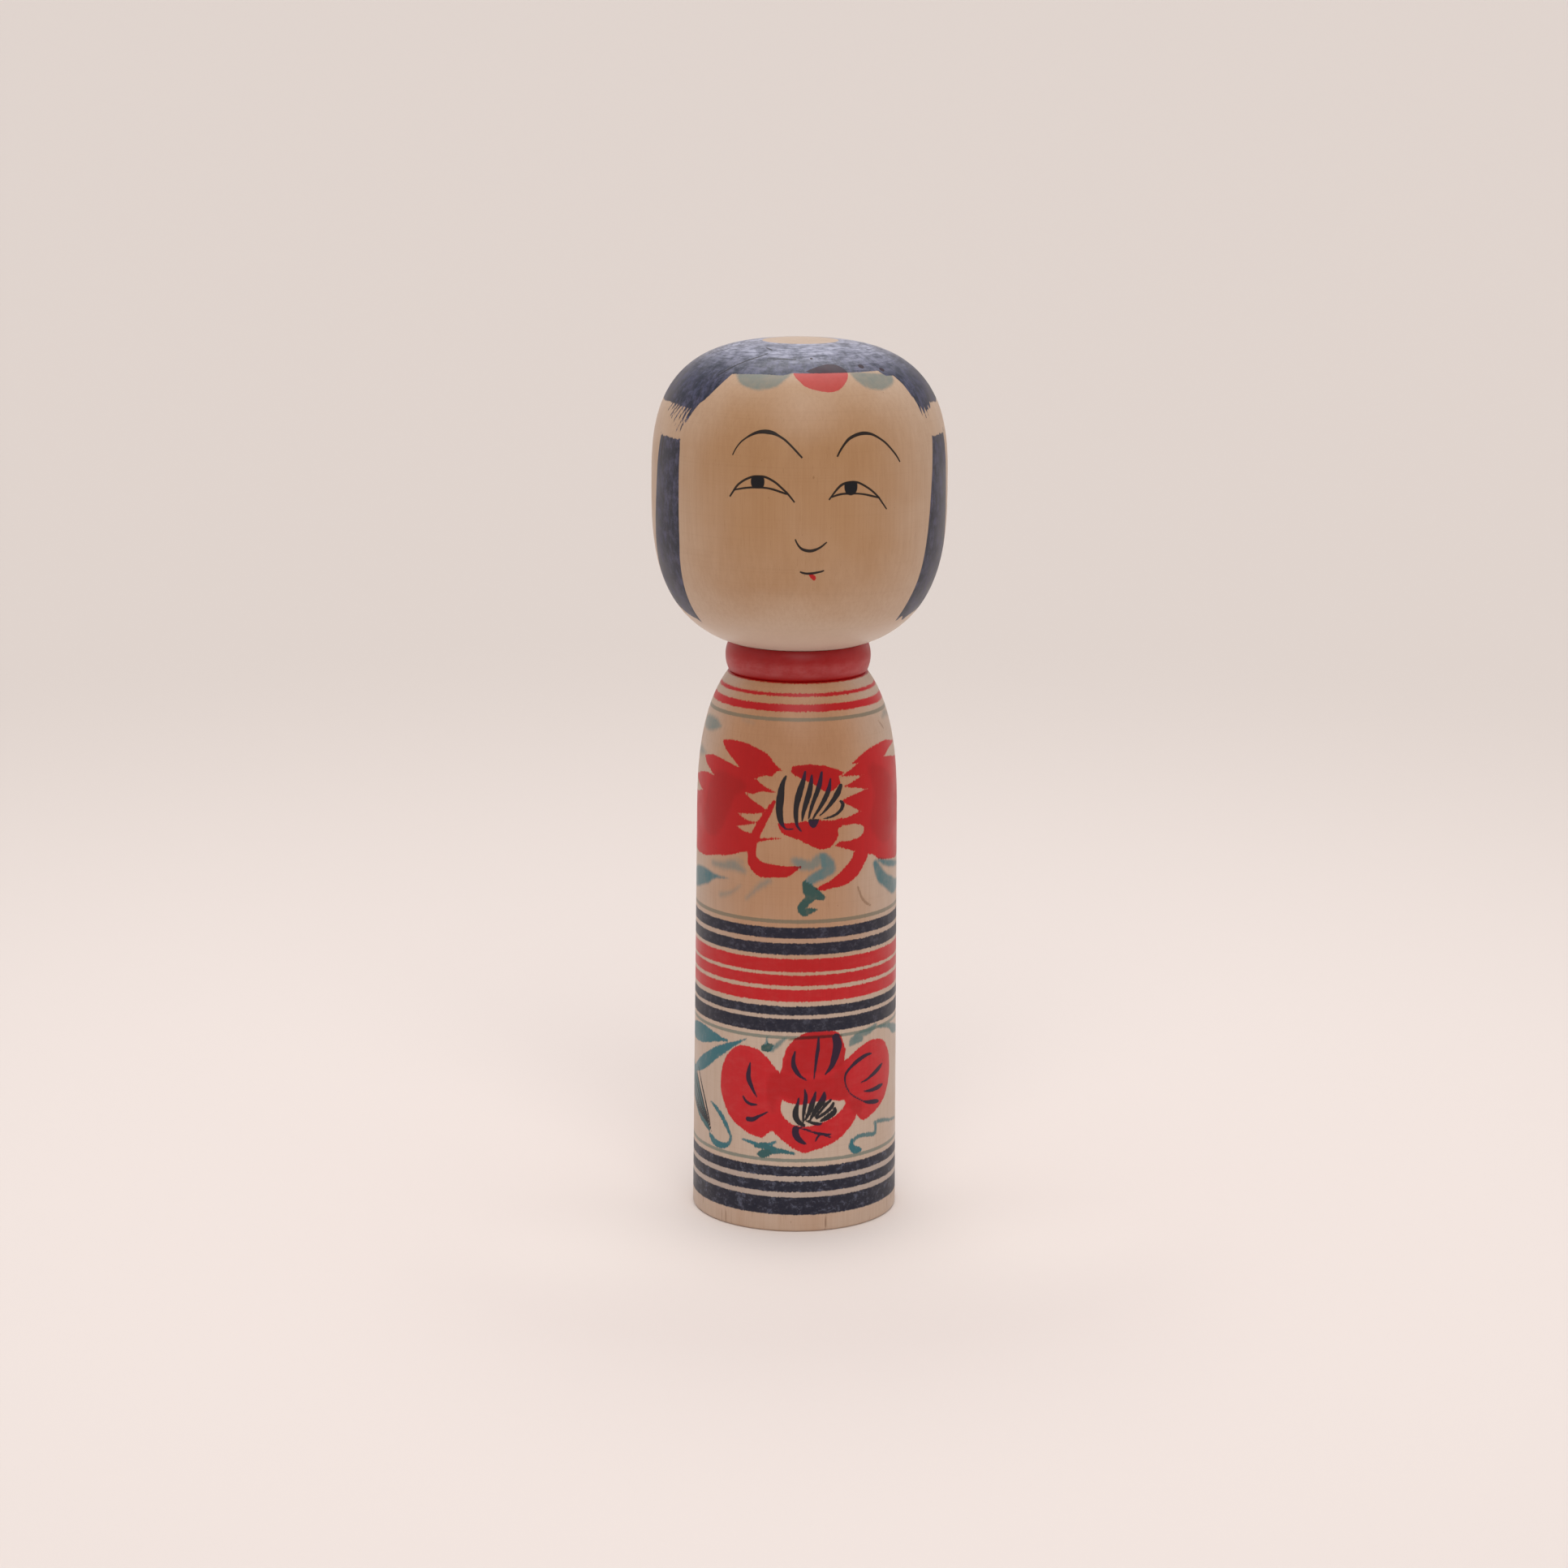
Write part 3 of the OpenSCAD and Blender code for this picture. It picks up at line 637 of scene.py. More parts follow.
def head_curve():
    """Radius, height and distance from the crown along the head's outline, closely sampled."""
    t = np.linspace(0, pi / 2, 1500)
    crown_h = HEAD_TOP - HEAD_WIDE_Z
    crown = (HEAD_R * np.sin(t) ** (2 / CROWN_FULL), HEAD_WIDE_Z + crown_h * np.cos(t) ** (2 / CROWN_FULL))
    chin = (HEAD_R * np.cos(t) ** (2 / CHIN_FULL), HEAD_WIDE_Z - CHIN_H * np.sin(t) ** (2 / CHIN_FULL))
    radius, height = (np.concatenate([a, b[1:]]) for a, b in zip(crown, chin))
    down = np.concatenate([[0], np.cumsum(np.hypot(np.diff(radius), np.diff(height)))])
    return radius, height, down


def head_rings():
    """(radius, z, chart distance from the crown) of the head's rings, from the tenon's end up."""
    radius, height, down = head_curve()
    end = np.interp(-SEAT_Z, -height[len(height) // 2:], down[len(down) // 2:])

    def spacing(s):
        if 46 < s < 87:
            return 0.4
        return 0.55 if CROWN_BARE_R < s < 104 else 1.3

    rows = spread([1, CROWN_BARE_R, 24, 46, 87, 104, end], spacing)
    shell = [(np.interp(s, down, radius), np.interp(s, down, height), s) for s in reversed(rows)]
    tenon = [(r, z, OFF_HEAD) for r, z in tenon_side(0, TENON_END, LEAD_IN)]
    seat = [(12, SEAT_Z, OFF_HEAD), (SEAT_R - 0.6, SEAT_Z, OFF_HEAD)]
    return tenon + seat + shell


def chart_columns(chart_r, zones):
    """Chart positions round a whole turn: zones are (first, last, spacing), from the back to the back."""
    half = pi * chart_r
    columns = []
    for first, last, spacing in zones:
        first, last = max(first, -half), min(last, half)
        steps = ceil((last - first) / spacing)
        columns += [first + (last - first) * i / steps for i in range(steps)]
    return np.array(columns)


def packed(lengths, margin=0.004):
    """Running total of the lengths, scaled to the texture's width."""
    total = np.concatenate([[0], np.cumsum(lengths)])
    return margin + (1 - 2 * margin) * total / total[-1]


def turned_mesh(name, rings, columns, chart_r, row_weight, column_weight, attributes):
    """A closed turned skin. Its rings run from pole to pole, and attributes have a value at each point."""
    rings = np.array(rings, float)
    radius, height = rings[:, 0], rings[:, 1]
    angle = columns / chart_r - CHART_TURN
    n_rows, n_cols = len(rings), len(columns)
    points = np.empty((n_rows, n_cols, 3))
    points[..., 0] = radius[:, None] * np.sin(angle)
    points[..., 1] = -radius[:, None] * np.cos(angle)
    points[..., 2] = height[:, None]
    poles = [(0, 0, height[0]), (0, 0, height[-1])]
    index = np.arange(n_rows * n_cols).reshape(n_rows, n_cols)
    after = np.roll(index, -1, 1)
    quads = np.stack([index[:-1], after[:-1], after[1:], index[1:]], -1).reshape(-1, 4)
    first, last = n_rows * n_cols, n_rows * n_cols + 1
    under = [(first, b, a) for a, b in zip(index[0], after[0])]
    over = [(last, a, b) for a, b in zip(index[-1], after[-1])]
    mesh = bpy.data.meshes.new(name)
    points = np.vstack([points.reshape(-1, 3), poles]) * MM
    mesh.from_pydata(points.tolist(), [], quads.tolist() + under + over)
    add_texture_map(mesh, rings, columns, chart_r, row_weight, column_weight)
    for key, values in attributes.items():
        add_attribute(mesh, key, values)
    mesh.polygons.foreach_set("use_smooth", np.ones(len(mesh.polygons), bool))
    mesh.set_sharp_from_angle(angle=radians(35))
    return bpy.data.objects.new(name, mesh)


def add_texture_map(mesh, rings, columns, chart_r, row_weight, column_weight):
    """The layout for baked textures, with more room for the painted front."""
    steps = np.hypot(np.diff(rings[:, 0]), np.diff(rings[:, 1]))
    middle = (rings[1:, 2] + rings[:-1, 2]) / 2
    v = packed(np.concatenate([[3], steps * [row_weight(s) for s in middle], [3]]))
    turn = np.append(columns, columns[0] + 2 * pi * chart_r)
    u = packed([(b - a) * column_weight((a + b) / 2) for a, b in zip(turn, turn[1:])])
    n_rows, n_cols = len(rings), len(columns)
    row, col = np.meshgrid(np.arange(n_rows - 1), np.arange(n_cols), indexing="ij")
    corners = [(col, row), (col + 1, row), (col + 1, row + 1), (col, row + 1)]
    quads = np.stack([np.stack([u[c], v[r + 1]], -1) for c, r in corners], -2).reshape(-1, 2)
    fans = []
    for j in range(n_cols):
        fans += [((u[j] + u[j + 1]) / 2, v[0]), (u[j + 1], v[1]), (u[j], v[1])]
    for j in range(n_cols):
        fans += [((u[j] + u[j + 1]) / 2, v[-1]), (u[j], v[-2]), (u[j + 1], v[-2])]
    layer = mesh.uv_layers.new(name="OFBake")
    layer.uv.foreach_set("vector", np.concatenate([quads.ravel(), np.ravel(fans)]).astype(np.float32))


def add_attribute(mesh, name, values):
    """One value, or one vector, for each grid point, and the first and last ring's mean at the poles."""
    flat = values.reshape(-1, *values.shape[2:])
    poles = [values[0].mean(0), values[-1].mean(0)]
    vector = values.ndim == 3
    made = mesh.attributes.new(name, "FLOAT_VECTOR" if vector else "FLOAT", "POINT")
    everything = np.concatenate([flat, poles]).astype(np.float32)
    made.data.foreach_set("vector" if vector else "value", everything.ravel())


def make_body():
    rings = body_rings()
    columns = chart_columns(BODY_CHART_R, ((-99, -FRONT_HALF, 1.15), (-FRONT_HALF, FRONT_HALF, 0.4),
                                             (FRONT_HALF, 99, 1.15)))
    canvas = paint_body(columns, [ring[2] for ring in rings])
    inks = ("red", "deep", "black", "stroke", "olive", "green", "faint", "wash")
    attributes = {name: canvas.depth[name] for name in inks}
    attributes["green_tone"] = canvas.tone["green"]
    # Amber wood with painted shade, paler round the sides as painted light.
    attributes["amber_and_shade"] = amber_and_shade(canvas, BODY_AMBER_AND_SHADE, -3, 8, 34)
    return turned_mesh(
        "doll_body", rings, columns, BODY_CHART_R,
        lambda z: 1 if z >= 0 else 0.3, lambda x: 3.4 if abs(x) < FRONT_HALF else 1, attributes)


def make_head():
    rings = head_rings()
    columns = chart_columns(
        HEAD_CHART_R, ((-125, -62, 1.5), (-62, -27, 0.6), (-27, 37, 0.42), (37, 68, 0.6), (68, 125, 1.5)))
    along = np.array([ring[2] for ring in rings])
    canvas = paint_head(columns, along)
    attributes = {name: canvas.depth[name] for name in ("hair", "crack", "lens", "red", "green", "pupil")}
    attributes["green_tone"] = canvas.tone["green"]
    # Amber wood with painted shade, falling away at the crown and chin as painted light.
    attributes["amber_and_shade"] = amber_and_shade(canvas, HEAD_AMBER_AND_SHADE, 0, 10, 50)
    attributes["line_a"] = canvas.fine_lines(BROWS_AND_NOSE)
    attributes["line_b"] = canvas.fine_lines(UPPER_LIDS_AND_MOUTH)
    attributes["line_c"] = canvas.fine_lines(LOWER_LIDS)
    angle = columns / HEAD_CHART_R
    brush = np.empty((len(along), len(columns), 3))
    brush[..., 0] = HEAD_CHART_R * np.sin(angle)
    brush[..., 1] = -HEAD_CHART_R * np.cos(angle)
    brush[..., 2] = along[:, None]
    attributes["brush"] = brush
    side = np.clip((np.abs(columns - 1) - 36) / 3, 0, 1)[None, :]
    lock = np.clip((np.abs(along - 75) - 20) / 3, 0, 1)[:, None]
    attributes["ragged"] = 0.25 + 0.7 * side * lock

    def row_weight(s):
        if s > OFF_HEAD / 2:
            return 0.35
        return 1.8 if 44 < s < 90 else 1

    def column_weight(x):
        if -27 < x < 37:
            return 4.2
        return 2.6 if -62 < x < 68 else 1

    return turned_mesh("doll_head", rings, columns, HEAD_CHART_R, row_weight, column_weight, attributes)


# ======== Materials ========

WAX_IOR = 1.34
# The amber wood colours carry aged wood and painted shade alike; the pale ones show through where light is
# painted, round the sides and on the head's crown and chin.
BODY_PALE, BODY_AMBER_SHADED_WOOD = (0.50, 0.378, 0.295), (0.40, 0.212, 0.112)
HEAD_PALE, HEAD_AMBER_SHADED_WOOD = (0.52, 0.373, 0.268), (0.385, 0.211, 0.101)
# Pale wood painted on the chin: painted light from the bright floor below.
CHIN_FLOOR_LIT_WOOD = (0.64, 0.53, 0.44)
RED_DYE, THIN_RED_DYE = (0.96, 0.017, 0.037), (1.0, 0.3, 0.38)
# The collar tint is painted shade under the head; the rubbed red is partly worn dye and partly painted sheen.
DEEP_RED_TINT, COLLAR_SHADE_TINT, RUBBED_RED_AND_SHEEN = (0.7, 0.22, 0.22), (0.8, 0.75, 0.6), (0.63, 0.235, 0.235)
PALE_LEAF, TEAL_LEAF, DARK_LEAF = (0.104, 0.165, 0.158), (0.02, 0.124, 0.15), (0.022, 0.068, 0.06)
UPPER_OLIVE, LOWER_OLIVE, GREY_WASH = (0.105, 0.115, 0.08), (0.07, 0.125, 0.105), (0.27, 0.275, 0.29)
BAND_INK, WORN_BAND_INK = (0.005, 0.007, 0.02), (0.1, 0.115, 0.175)
STROKE_INK, STROKE_INK_ON_RED = (0.006, 0.0065, 0.01), (0.018, 0.006, 0.026)
# The hair's pale colour near the crown is partly a bloom on the ink and partly painted sheen of the light
# from above.
HAIR_INK, WORN_HAIR_INK, HAIR_BLOOM_AND_SHEEN = (0.008, 0.011, 0.026), (0.062, 0.068, 0.135), (0.41, 0.41, 0.51)
LENS_INK, CRACK_INK = (0.02, 0.006, 0.016), (0.006, 0.006, 0.01)
PUPIL_INK, LINE_INK = (0.004, 0.004, 0.006), (0.006, 0.004, 0.004)
CHECK_TINT, FAINT_TINT = (0.35, 0.24, 0.17), (0.4, 0.3, 0.2)
RELIEF = 0.03           # height of the fibres and the ink, in millimetres


class Graph:
    """Builds a node tree. Every call returns the socket that carries its result."""

    def __init__(self, tree):
        self.tree = tree

    def add(self, kind, inputs=None, out=0, **settings):
        node = self.tree.nodes.new("ShaderNode" + kind)
        for setting, value in settings.items():
            setattr(node, setting, value)
        for socket, value in (inputs or {}).items():
            self.feed(node.inputs[socket], value)
        return node.outputs[out]

    def feed(self, socket, value):
        if isinstance(value, bpy.types.NodeSocket):
            self.tree.links.new(value, socket)
        elif socket.type == "RGBA":
            socket.default_value = (*value, 1)
        else:
            socket.default_value = value

    def maths(self, operation, first, second=0.0, third=0.0):
        return self.add("Math", {0: first, 1: second, 2: third}, operation=operation)

    def times(self, first, second):
        return self.maths("MULTIPLY", first, second)

    def plus(self, first, second):
        return self.maths("ADD", first, second)

    def ramp(self, value, low, high, start=0.0, end=1.0):
        ends = {"Value": value, "From Min": low, "From Max": high, "To Min": start, "To Max": end}
        return self.add("MapRange", ends, interpolation_type="SMOOTHSTEP")

    def noise(self, spot, stretch, detail=3.0, rough=0.55):
        moved = self.add("VectorMath", {0: spot, 1: stretch}, operation="MULTIPLY")
        return self.add("TexNoise", {"Vector": moved, "Scale": 1.0, "Detail": detail, "Roughness": rough})

    def blend(self, share, under, over, mode="MIX"):
        return self.add("Mix", {0: share, 6: under, 7: over}, out=2, data_type="RGBA", blend_type=mode)

    def stain(self, share, under, tint):
        return self.blend(share, under, tint, "MULTIPLY")

    def value(self, name):
        return self.add("Attribute", out="Fac", attribute_name=name)

    def vector(self, name):
        return self.add("Attribute", out="Vector", attribute_name=name)


class Finish(Graph):
    """A material in progress: its colour, roughness and relief are built up layer by layer."""

    def __init__(self, name):
        self.material = bpy.data.materials.new(name)
        self.material.use_nodes = True
        super().__init__(self.material.node_tree)
        self.shader = self.tree.nodes["Principled BSDF"]
        self.spot = self.add("VectorMath", {0: self.add("TexCoord", out="Object"), 3: 1 / MM},
                             operation="SCALE")
        bleed = self.noise(self.spot, (2.8, 2.8, 0.4), 3, 0.7)
        wander = self.noise(self.spot, (0.35, 0.35, 0.35), 1)
        self.bleed = self.plus(self.plus(bleed, -0.5), self.times(self.plus(wander, -0.5), 0.15))

    def cover(self, depth, ragged=1.3, edge=0.12):
        """How much of the ink lies on a point, with an edge that creeps along the fibres."""
        moved = self.plus(depth, self.times(self.bleed, ragged))
        if isinstance(edge, float):
            return self.ramp(moved, -edge, edge)
        return self.ramp(self.maths("DIVIDE", moved, edge), -0.4, 1)

    def close(self, colour, roughness, height, depth):
        self.feed(self.shader.inputs["Base Color"], colour)
        self.feed(self.shader.inputs["Roughness"], roughness)
        bump = self.add("Bump", {"Strength": 0.6, "Distance": depth, "Height": height})
        self.feed(self.shader.inputs["Normal"], bump)
        self.shader.inputs["IOR"].default_value = WAX_IOR
        return self.material


def wood_grain(paint, pale, amber_shaded_wood):
    """Bare turned wood: aged patches that also carry painted light and shade, fibres, short pores, specks and
    faint rings from the lathe.
    """
    fibre = paint.noise(paint.spot, (1.1, 1.1, 0.035), 4, 0.6)
    pores = paint.noise(paint.spot, (3.4, 3.4, 0.16), 2)
    cloud = paint.noise(paint.spot, (0.07, 0.07, 0.06), 3)
    rings = paint.noise(paint.spot, (0.02, 0.02, 2.4), 2)
    fleck = paint.noise(paint.spot, (0.9, 0.9, 0.5), 1)
    aged_and_shaded = paint.plus(paint.value("amber_and_shade"), paint.times(paint.plus(cloud, -0.5), 0.5))
    colour = paint.blend(paint.ramp(aged_and_shaded, -0.1, 1.15), pale, amber_shaded_wood)
    # The first stain darkens the wood further where the amber-and-shade value is highest: painted shade on
    # the shoulder under the collar.
    for value, low, high, start, end, tint in (
        (aged_and_shaded, 0.95, 1.4, 0, 0.6, (0.84, 0.78, 0.7)),
        (fibre, 0.35, 0.65, 0.4, 0, (0.88, 0.84, 0.8)),
        (pores, 0.6, 0.75, 0, 0.18, (0.45, 0.36, 0.28)),
        (rings, 0.5, 0.75, 0, 0.08, (0.6, 0.54, 0.48)),
        (fleck, 0.78, 0.85, 0, 0.4, (0.35, 0.24, 0.15)),
    ):
        colour = paint.stain(paint.ramp(value, low, high, start, end), colour, tint)
    relief = paint.plus(paint.times(fibre, 0.5), paint.plus(paint.times(pores, -0.3),
                                                           paint.times(rings, 0.35)))
    return colour, relief


def lay_green(paint, colour, depth, tone, smoky=0.0):
    """A green dye: a wash where the tone is low, thick teal where it is high, and blurred where smoky."""
    pool = paint.noise(paint.spot, (0.55, 0.55, 0.4), 3)
    smoky = paint.times(smoky, paint.ramp(tone, 0.85, 0.6))
    edge = paint.plus(paint.ramp(tone, 0.15, 0.6, 1.1, 0.22), paint.times(smoky, 0.6))
    strength = paint.add("MapRange", {"Value": tone, "From Min": 0, "From Max": 0.5, "To Min": 0.25,
                                      "To Max": 1})
    strength = paint.times(strength, paint.ramp(pool, 0.25, 0.7, 0.9, 1.08))
    strength = paint.times(strength, paint.plus(1.0, paint.times(smoky, -0.14)))
    leaf = paint.blend(paint.ramp(tone, 0.4, 0.62), PALE_LEAF, TEAL_LEAF)
    leaf = paint.blend(paint.ramp(tone, 0.66, 0.95), leaf, DARK_LEAF)
    share = paint.times(paint.cover(depth, 1.3, edge), paint.maths("MINIMUM", strength, 0.98))
    return paint.blend(share, colour, leaf)


def lay_red(paint, colour, share, streaks, paler=0.0):
    """A clear red dye that lets the grain through, thinner in places."""
    thin = paint.plus(paint.ramp(streaks, 0.4, 0.75, 0.0, 0.12), paler)
    dye = paint.blend(thin, RED_DYE, THIN_RED_DYE)
    return paint.stain(share, colour, dye)


def shade_and_wear_collar(paint, colour, height, streaks):
    """The collar's red is darker than the rest, as painted shade under the head, and pinker most of all in
    its lower half, partly worn thin and partly a painted sheen of the floor's reflection.
    """
    # A pink band across the collar's lower half: partly worn-thin dye and partly painted sheen of the floor's
    # reflection.
    rubbed_and_sheen = paint.times(paint.ramp(height, 151.2, 152.8), paint.ramp(height, 156.5, 154.0, 0.25, 1))
    rubbed_and_sheen = paint.times(rubbed_and_sheen, paint.ramp(streaks, 0.3, 0.7, 0.07, 0.21))
    # Painted shade: the whole collar is darkened, as under the head's overhang.
    collar = paint.ramp(height, GROOVE_Z - 0.2, GROOVE_Z)
    colour = paint.stain(collar, colour, COLLAR_SHADE_TINT)
    return paint.blend(rubbed_and_sheen, colour, RUBBED_RED_AND_SHEEN)


def lay_body_ink(paint, colour, height, red):
    """The black bands, worn and speckled, and most worn near the floor, then the black brush strokes."""
    black = paint.cover(paint.value("black"), 1.1)
    mottle = paint.noise(paint.spot, (0.5, 0.5, 0.6), 6, 0.75)
    worn = paint.times(paint.ramp(mottle, 0.5, 0.66), paint.ramp(height, 50.0, 16.0, 0.25, 0.55))
    grit = paint.noise(paint.spot, (2.2, 2.2, 2.2), 1)
    worn = paint.maths("MAXIMUM", worn, paint.ramp(grit, 0.74, 0.8, 0, 0.8))
    ink = paint.blend(worn, BAND_INK, WORN_BAND_INK)
    thin = paint.ramp(mottle, 0.3, 0.75, 0.995, 0.95)
    colour = paint.blend(paint.times(black, thin), colour, ink)
    stroke = paint.cover(paint.value("stroke"), 0.35, 0.1)
    ink = paint.blend(paint.times(red, 0.8), STROKE_INK, STROKE_INK_ON_RED)
    colour = paint.blend(paint.times(stroke, 0.98), colour, ink)
    black = paint.maths("MAXIMUM", black, stroke)
    return colour, black, mottle


def body_material():
    paint = Finish("body_wood_painted")
    colour, relief = wood_grain(paint, BODY_PALE, BODY_AMBER_SHADED_WOOD)
    height = paint.add("SeparateXYZ", {0: paint.spot}, out="Z")
    checks = paint.ramp(paint.noise(paint.spot, (1.3, 1.3, 0.1), 1), 0.66, 0.71)
    checks = paint.times(checks, paint.ramp(height, 6.0, 3.0, 0, 0.6))
    colour = paint.stain(checks, colour, CHECK_TINT)
    smoky = paint.ramp(height, 60.0, 90.0)
    colour = lay_green(paint, colour, paint.value("green"), paint.value("green_tone"), smoky)
    olive = paint.times(paint.cover(paint.plus(paint.value("olive"), 0.12), 0.5), 0.68)
    colour = paint.blend(olive, colour, paint.blend(smoky, LOWER_OLIVE, UPPER_OLIVE))
    low = paint.ramp(height, 30.0, 15.0, 0.1, 0.3)
    colour = paint.blend(paint.times(paint.cover(paint.value("wash")), low), colour, GREY_WASH)
    streaks = paint.noise(paint.spot, (0.25, 0.25, 0.5), 4, 0.65)
    red = paint.cover(paint.value("red"))
    colour = lay_red(paint, colour, red, streaks, paint.ramp(height, 76.0, 88.0, 0.03, -0.07))
    deep = paint.times(paint.cover(paint.value("deep"), 1.0, 0.9), red)
    colour = paint.stain(paint.times(deep, 0.5), colour, DEEP_RED_TINT)
    faint = paint.times(paint.cover(paint.value("faint"), 0.6), 0.55)
    colour = paint.stain(faint, colour, FAINT_TINT)
    colour = shade_and_wear_collar(paint, colour, height, streaks)
    colour, black, mottle = lay_body_ink(paint, colour, height, red)
    gloss = paint.noise(paint.spot, (0.12, 0.12, 0.12), 3)
    roughness = paint.ramp(gloss, 0.3, 0.7, 0.3, 0.42)
    roughness = paint.plus(roughness, paint.times(paint.times(black, mottle), 0.12))
    relief = paint.plus(relief, paint.times(paint.times(black, mottle), 0.4))
    return paint.close(colour, roughness, relief, RELIEF * MM)


def lay_lines(paint, colour):
    """The fine ink lines of the face."""
    for name in ("line_a", "line_b", "line_c"):
        parts = paint.add("SeparateXYZ", {0: paint.vector(name)}).node.outputs
        side = paint.maths("ABSOLUTE", parts["X"])
        wobble = paint.times(paint.bleed, 0.05)
        inside = paint.ramp(paint.plus(paint.maths("SUBTRACT", parts["Y"], side), wobble), -0.06, 0.04)
        kept = paint.ramp(parts["Z"], 0.12, -0.12)
        colour = paint.blend(paint.times(paint.times(inside, kept), 0.97), colour, LINE_INK)
    return colour


def lay_hair(paint, colour, brush, down):
    """The cap of hair and the side locks: brushed ink, pale near the crown with bloom and a painted sheen of
    the light from above.
    """
    bristles = paint.plus(paint.noise(brush, (1.4, 1.4, 0.05), 2, 0.6), -0.52)
    hair = paint.plus(paint.value("hair"), paint.times(paint.times(bristles, 1.5), paint.value("ragged")))
    hair = paint.cover(hair, 0.2, 0.15)
    mottle = paint.noise(paint.spot, (0.35, 0.35, 0.35), 6, 0.7)
    fine = paint.noise(brush, (0.9, 0.9, 0.25), 4, 0.7)
    worn = paint.ramp(paint.plus(paint.times(mottle, 0.6), paint.times(fine, 0.4)), 0.42, 0.68)
    ink = paint.blend(worn, HAIR_INK, WORN_HAIR_INK)
    sweep = paint.noise(brush, (0.09, 0.09, 1.2), 3, 0.65)
    # Paler towards the crown, where the hair faces up: partly a bloom on the ink and partly painted sheen of
    # the overhead light.
    bloom_and_sheen = paint.times(paint.ramp(down, 36.0, 13.0, 0.0, 1.0), paint.ramp(mottle, 0.34, 0.62, 0.35, 1.0))
    bloom_and_sheen = paint.times(bloom_and_sheen, paint.ramp(sweep, 0.38, 0.58, 0.55, 1.1))
    patch = paint.noise(paint.spot, (0.13, 0.13, 0.13), 3, 0.6)
    bloom_and_sheen = paint.times(bloom_and_sheen, paint.ramp(patch, 0.36, 0.6, 0.7, 1.12))
    ink = paint.blend(bloom_and_sheen, ink, HAIR_BLOOM_AND_SHEEN)
    thin = paint.ramp(mottle, 0.35, 0.7, 0.995, 0.95)
    lens = paint.cover(paint.value("lens"), 0.3)
    ink = paint.blend(lens, ink, LENS_INK)
    crack = paint.times(paint.cover(paint.value("crack"), 0.5), 0.85)
    ink = paint.blend(crack, ink, CRACK_INK)
    colour = paint.blend(paint.times(hair, thin), colour, ink)
    return colour, hair, worn, mottle


def head_material():
    paint = Finish("head_wood_painted")
    colour, relief = wood_grain(paint, HEAD_PALE, HEAD_AMBER_SHADED_WOOD)
    brush = paint.vector("brush")
    down = paint.add("SeparateXYZ", {0: brush}, out="Z")
    # Painted light: the chin is painted paler, as though lit from the floor below.
    colour = paint.blend(paint.ramp(down, 96.0, 112.0, 0, 0.8), colour, CHIN_FLOOR_LIT_WOOD)
    colour = lay_green(paint, colour, paint.value("green"), paint.value("green_tone"))
    streaks = paint.noise(paint.spot, (0.3, 0.3, 0.3), 4, 0.65)
    red = paint.cover(paint.value("red"), 0.5)
    colour = lay_red(paint, colour, red, streaks, paint.ramp(down, 45.0, 38.0, 0.0, 0.66))
    colour, hair, worn, mottle = lay_hair(paint, colour, brush, down)
    colour = paint.blend(paint.cover(paint.value("pupil"), 0.1), colour, PUPIL_INK)
    colour = lay_lines(paint, colour)
    gloss = paint.noise(paint.spot, (0.1, 0.1, 0.1), 3)
    roughness = paint.ramp(gloss, 0.3, 0.7, 0.3, 0.4)
    roughness = paint.plus(roughness, paint.times(paint.times(hair, worn), 0.14))
    relief = paint.plus(relief, paint.times(paint.times(hair, mottle), 0.5))
    return paint.close(colour, roughness, relief, RELIEF * MM)


# ======== Floor, light and camera ========

FLOOR_R = 60
# The floor is painted brighter near the doll and darker far off: a painted pool of light.
FLOOR_NEAR, FLOOR_FAR = (0.74, 0.65, 0.60), (0.60, 0.525, 0.477)
# Painted light on the floor just in front of the doll, which lightens the shadow there.
FLOOR_FILL_LIGHT = (0.9, 0.81, 0.74)
SWEEP_LIGHT, SKY_LIGHT = (0.77, 0.67, 0.61), (0.62, 0.63, 0.66)
# Soft lights: direction they come from, cosines at their soft edge's start and end, and brightness
SOFT_LIGHTS = (((0, -0.75, 0.66), 0.88, 0.95, 2.7), ((0, 0.35, 0.94), 0.9, 0.96, 2.6))
FRONT_DIM = 0.7


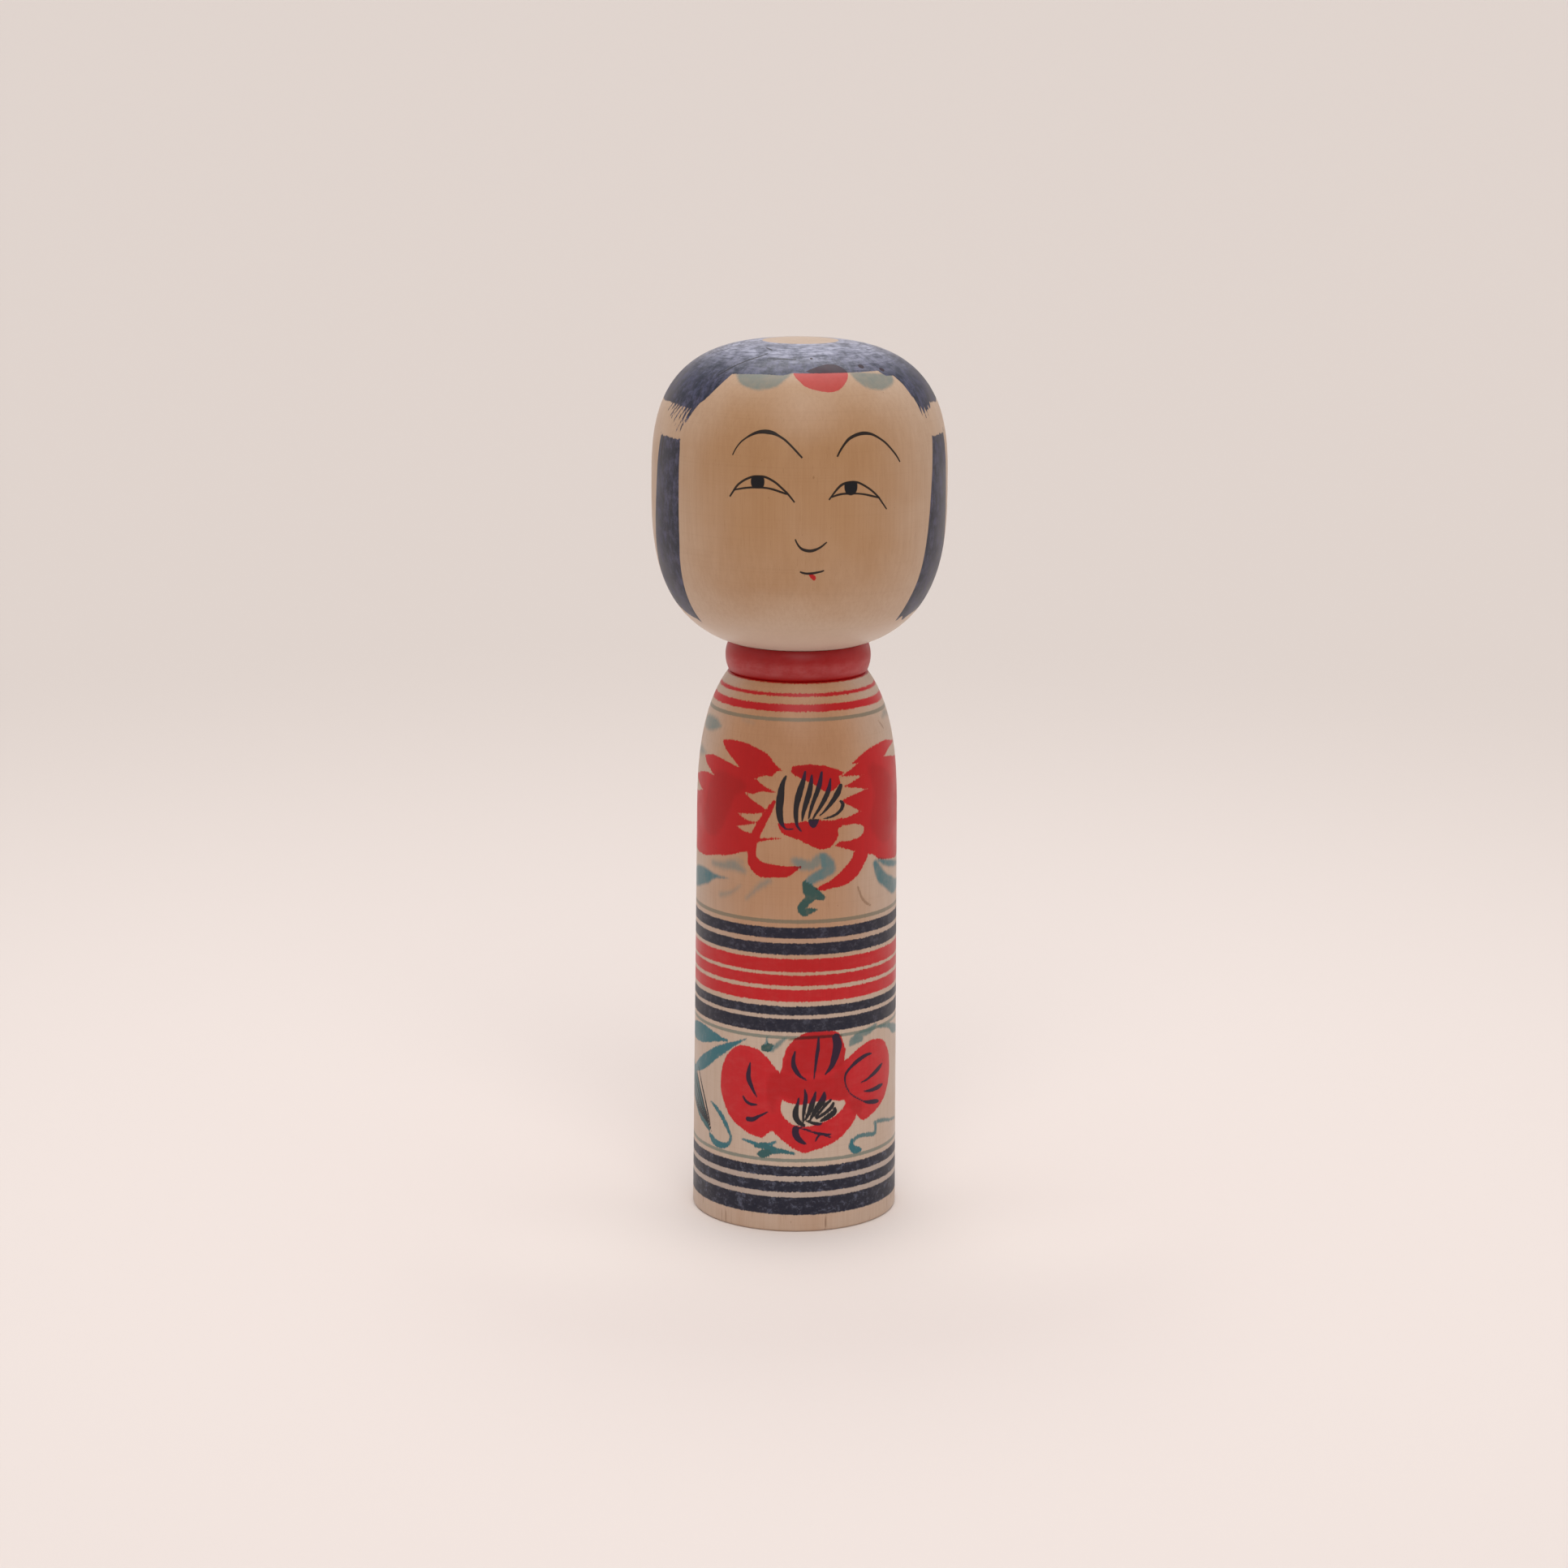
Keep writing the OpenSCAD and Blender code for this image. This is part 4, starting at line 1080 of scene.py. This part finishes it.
def make_floor():
    mesh = bpy.data.meshes.new("floor")
    ring = [(FLOOR_R * cos(2 * pi * i / 64), FLOOR_R * sin(2 * pi * i / 64), 0) for i in range(64)]
    mesh.from_pydata(ring, [], [list(range(64))])
    floor = bpy.data.objects.new("floor", mesh)
    bpy.context.collection.objects.link(floor)
    paint = Finish("pale_floor")
    spread_out = paint.add("VectorMath", {0: paint.spot}, out="Value", operation="LENGTH")
    # Painted pool of light: brighter close to the doll, darker far away.
    colour = paint.blend(paint.ramp(spread_out, 80.0, 900.0), FLOOR_NEAR, FLOOR_FAR)
    ahead = paint.add("SeparateXYZ", {0: paint.spot}, out="Y")
    # Painted light: the floor in front of the doll's base is painted brighter, over its contact shadow.
    painted_fill = paint.times(paint.ramp(ahead, 5.0, -60.0), paint.ramp(spread_out, 120.0, 35.0, 0, 0.6))
    colour = paint.blend(painted_fill, colour, FLOOR_FILL_LIGHT)
    mesh.materials.append(paint.close(colour, 0.9, 0.5, 0.0))
    floor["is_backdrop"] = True


def set_world():
    """Pale light from all round, two big soft lights overhead, and a dim room low down in front."""
    world = bpy.data.worlds.new("studio")
    world.use_nodes = True
    bpy.context.scene.world = world
    light = Graph(world.node_tree)
    toward = light.add("TexCoord", out="Generated")
    parts = light.add("SeparateXYZ", {0: toward}).node.outputs
    colour = light.blend(light.ramp(parts["Z"], 0.12, 0.4), SWEEP_LIGHT, SKY_LIGHT)
    front = light.ramp(parts["Y"], -0.5, -0.95)
    low = light.ramp(parts["Z"], 0.7, 0.35)
    dim = light.times(light.times(front, low), FRONT_DIM)
    colour = light.blend(dim, colour, (0, 0, 0))
    for direction, start, end, strength in SOFT_LIGHTS:
        facing = light.add("VectorMath", {0: toward, 1: direction}, out="Value", operation="DOT_PRODUCT")
        patch = light.ramp(facing, start, end, 0.0, strength)
        colour = light.blend(1.0, colour, light.add("CombineXYZ", {0: patch, 1: patch, 2: patch}), "ADD")
    light.feed(world.node_tree.nodes["Background"].inputs["Color"], colour)


CAMERA_DISTANCE, CAMERA_HEIGHT = 1.0, 0.3389
CAMERA_PITCH, CAMERA_YAW, CAMERA_ROLL = radians(12.413), radians(0.205), radians(0.4)
CAMERA_LENS = 86.12


def set_camera():
    yaw = CAMERA_YAW - CHART_TURN
    sideways, ahead, up = Vector((cos(yaw), sin(yaw), 0)), Vector((-sin(yaw), cos(yaw), 0)), Vector((0, 0, 1))
    forward = ahead * cos(CAMERA_PITCH) - up * sin(CAMERA_PITCH)
    upright = ahead * sin(CAMERA_PITCH) + up * cos(CAMERA_PITCH)
    right = sideways * cos(CAMERA_ROLL) + upright * sin(CAMERA_ROLL)
    top = upright * cos(CAMERA_ROLL) - sideways * sin(CAMERA_ROLL)
    data = bpy.data.cameras.new("camera")
    data.lens = CAMERA_LENS
    data.clip_end = 200
    camera = bpy.data.objects.new("camera", data)
    bpy.context.collection.objects.link(camera)
    turn = Matrix((right, top, -forward)).transposed().to_4x4()
    place = (-sin(CHART_TURN) * CAMERA_DISTANCE, -cos(CHART_TURN) * CAMERA_DISTANCE, CAMERA_HEIGHT)
    camera.matrix_world = Matrix.Translation(place) @ turn
    bpy.context.scene.camera = camera
    bpy.context.scene.view_settings.view_transform = "Standard"


def place(piece, material, body, slot):
    bpy.context.collection.objects.link(piece)
    piece.data.materials.append(material)
    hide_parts(body)
    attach(piece, body)


place(make_body(), body_material(), "body", "body_wood")
place(make_head(), head_material(), "head", "head_wood")
make_floor()
set_world()
set_camera()

boxes = {"cad": cad_box, "visual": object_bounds()}
{name: [[float(v) for v in corner] for corner in box] for name, box in boxes.items()}
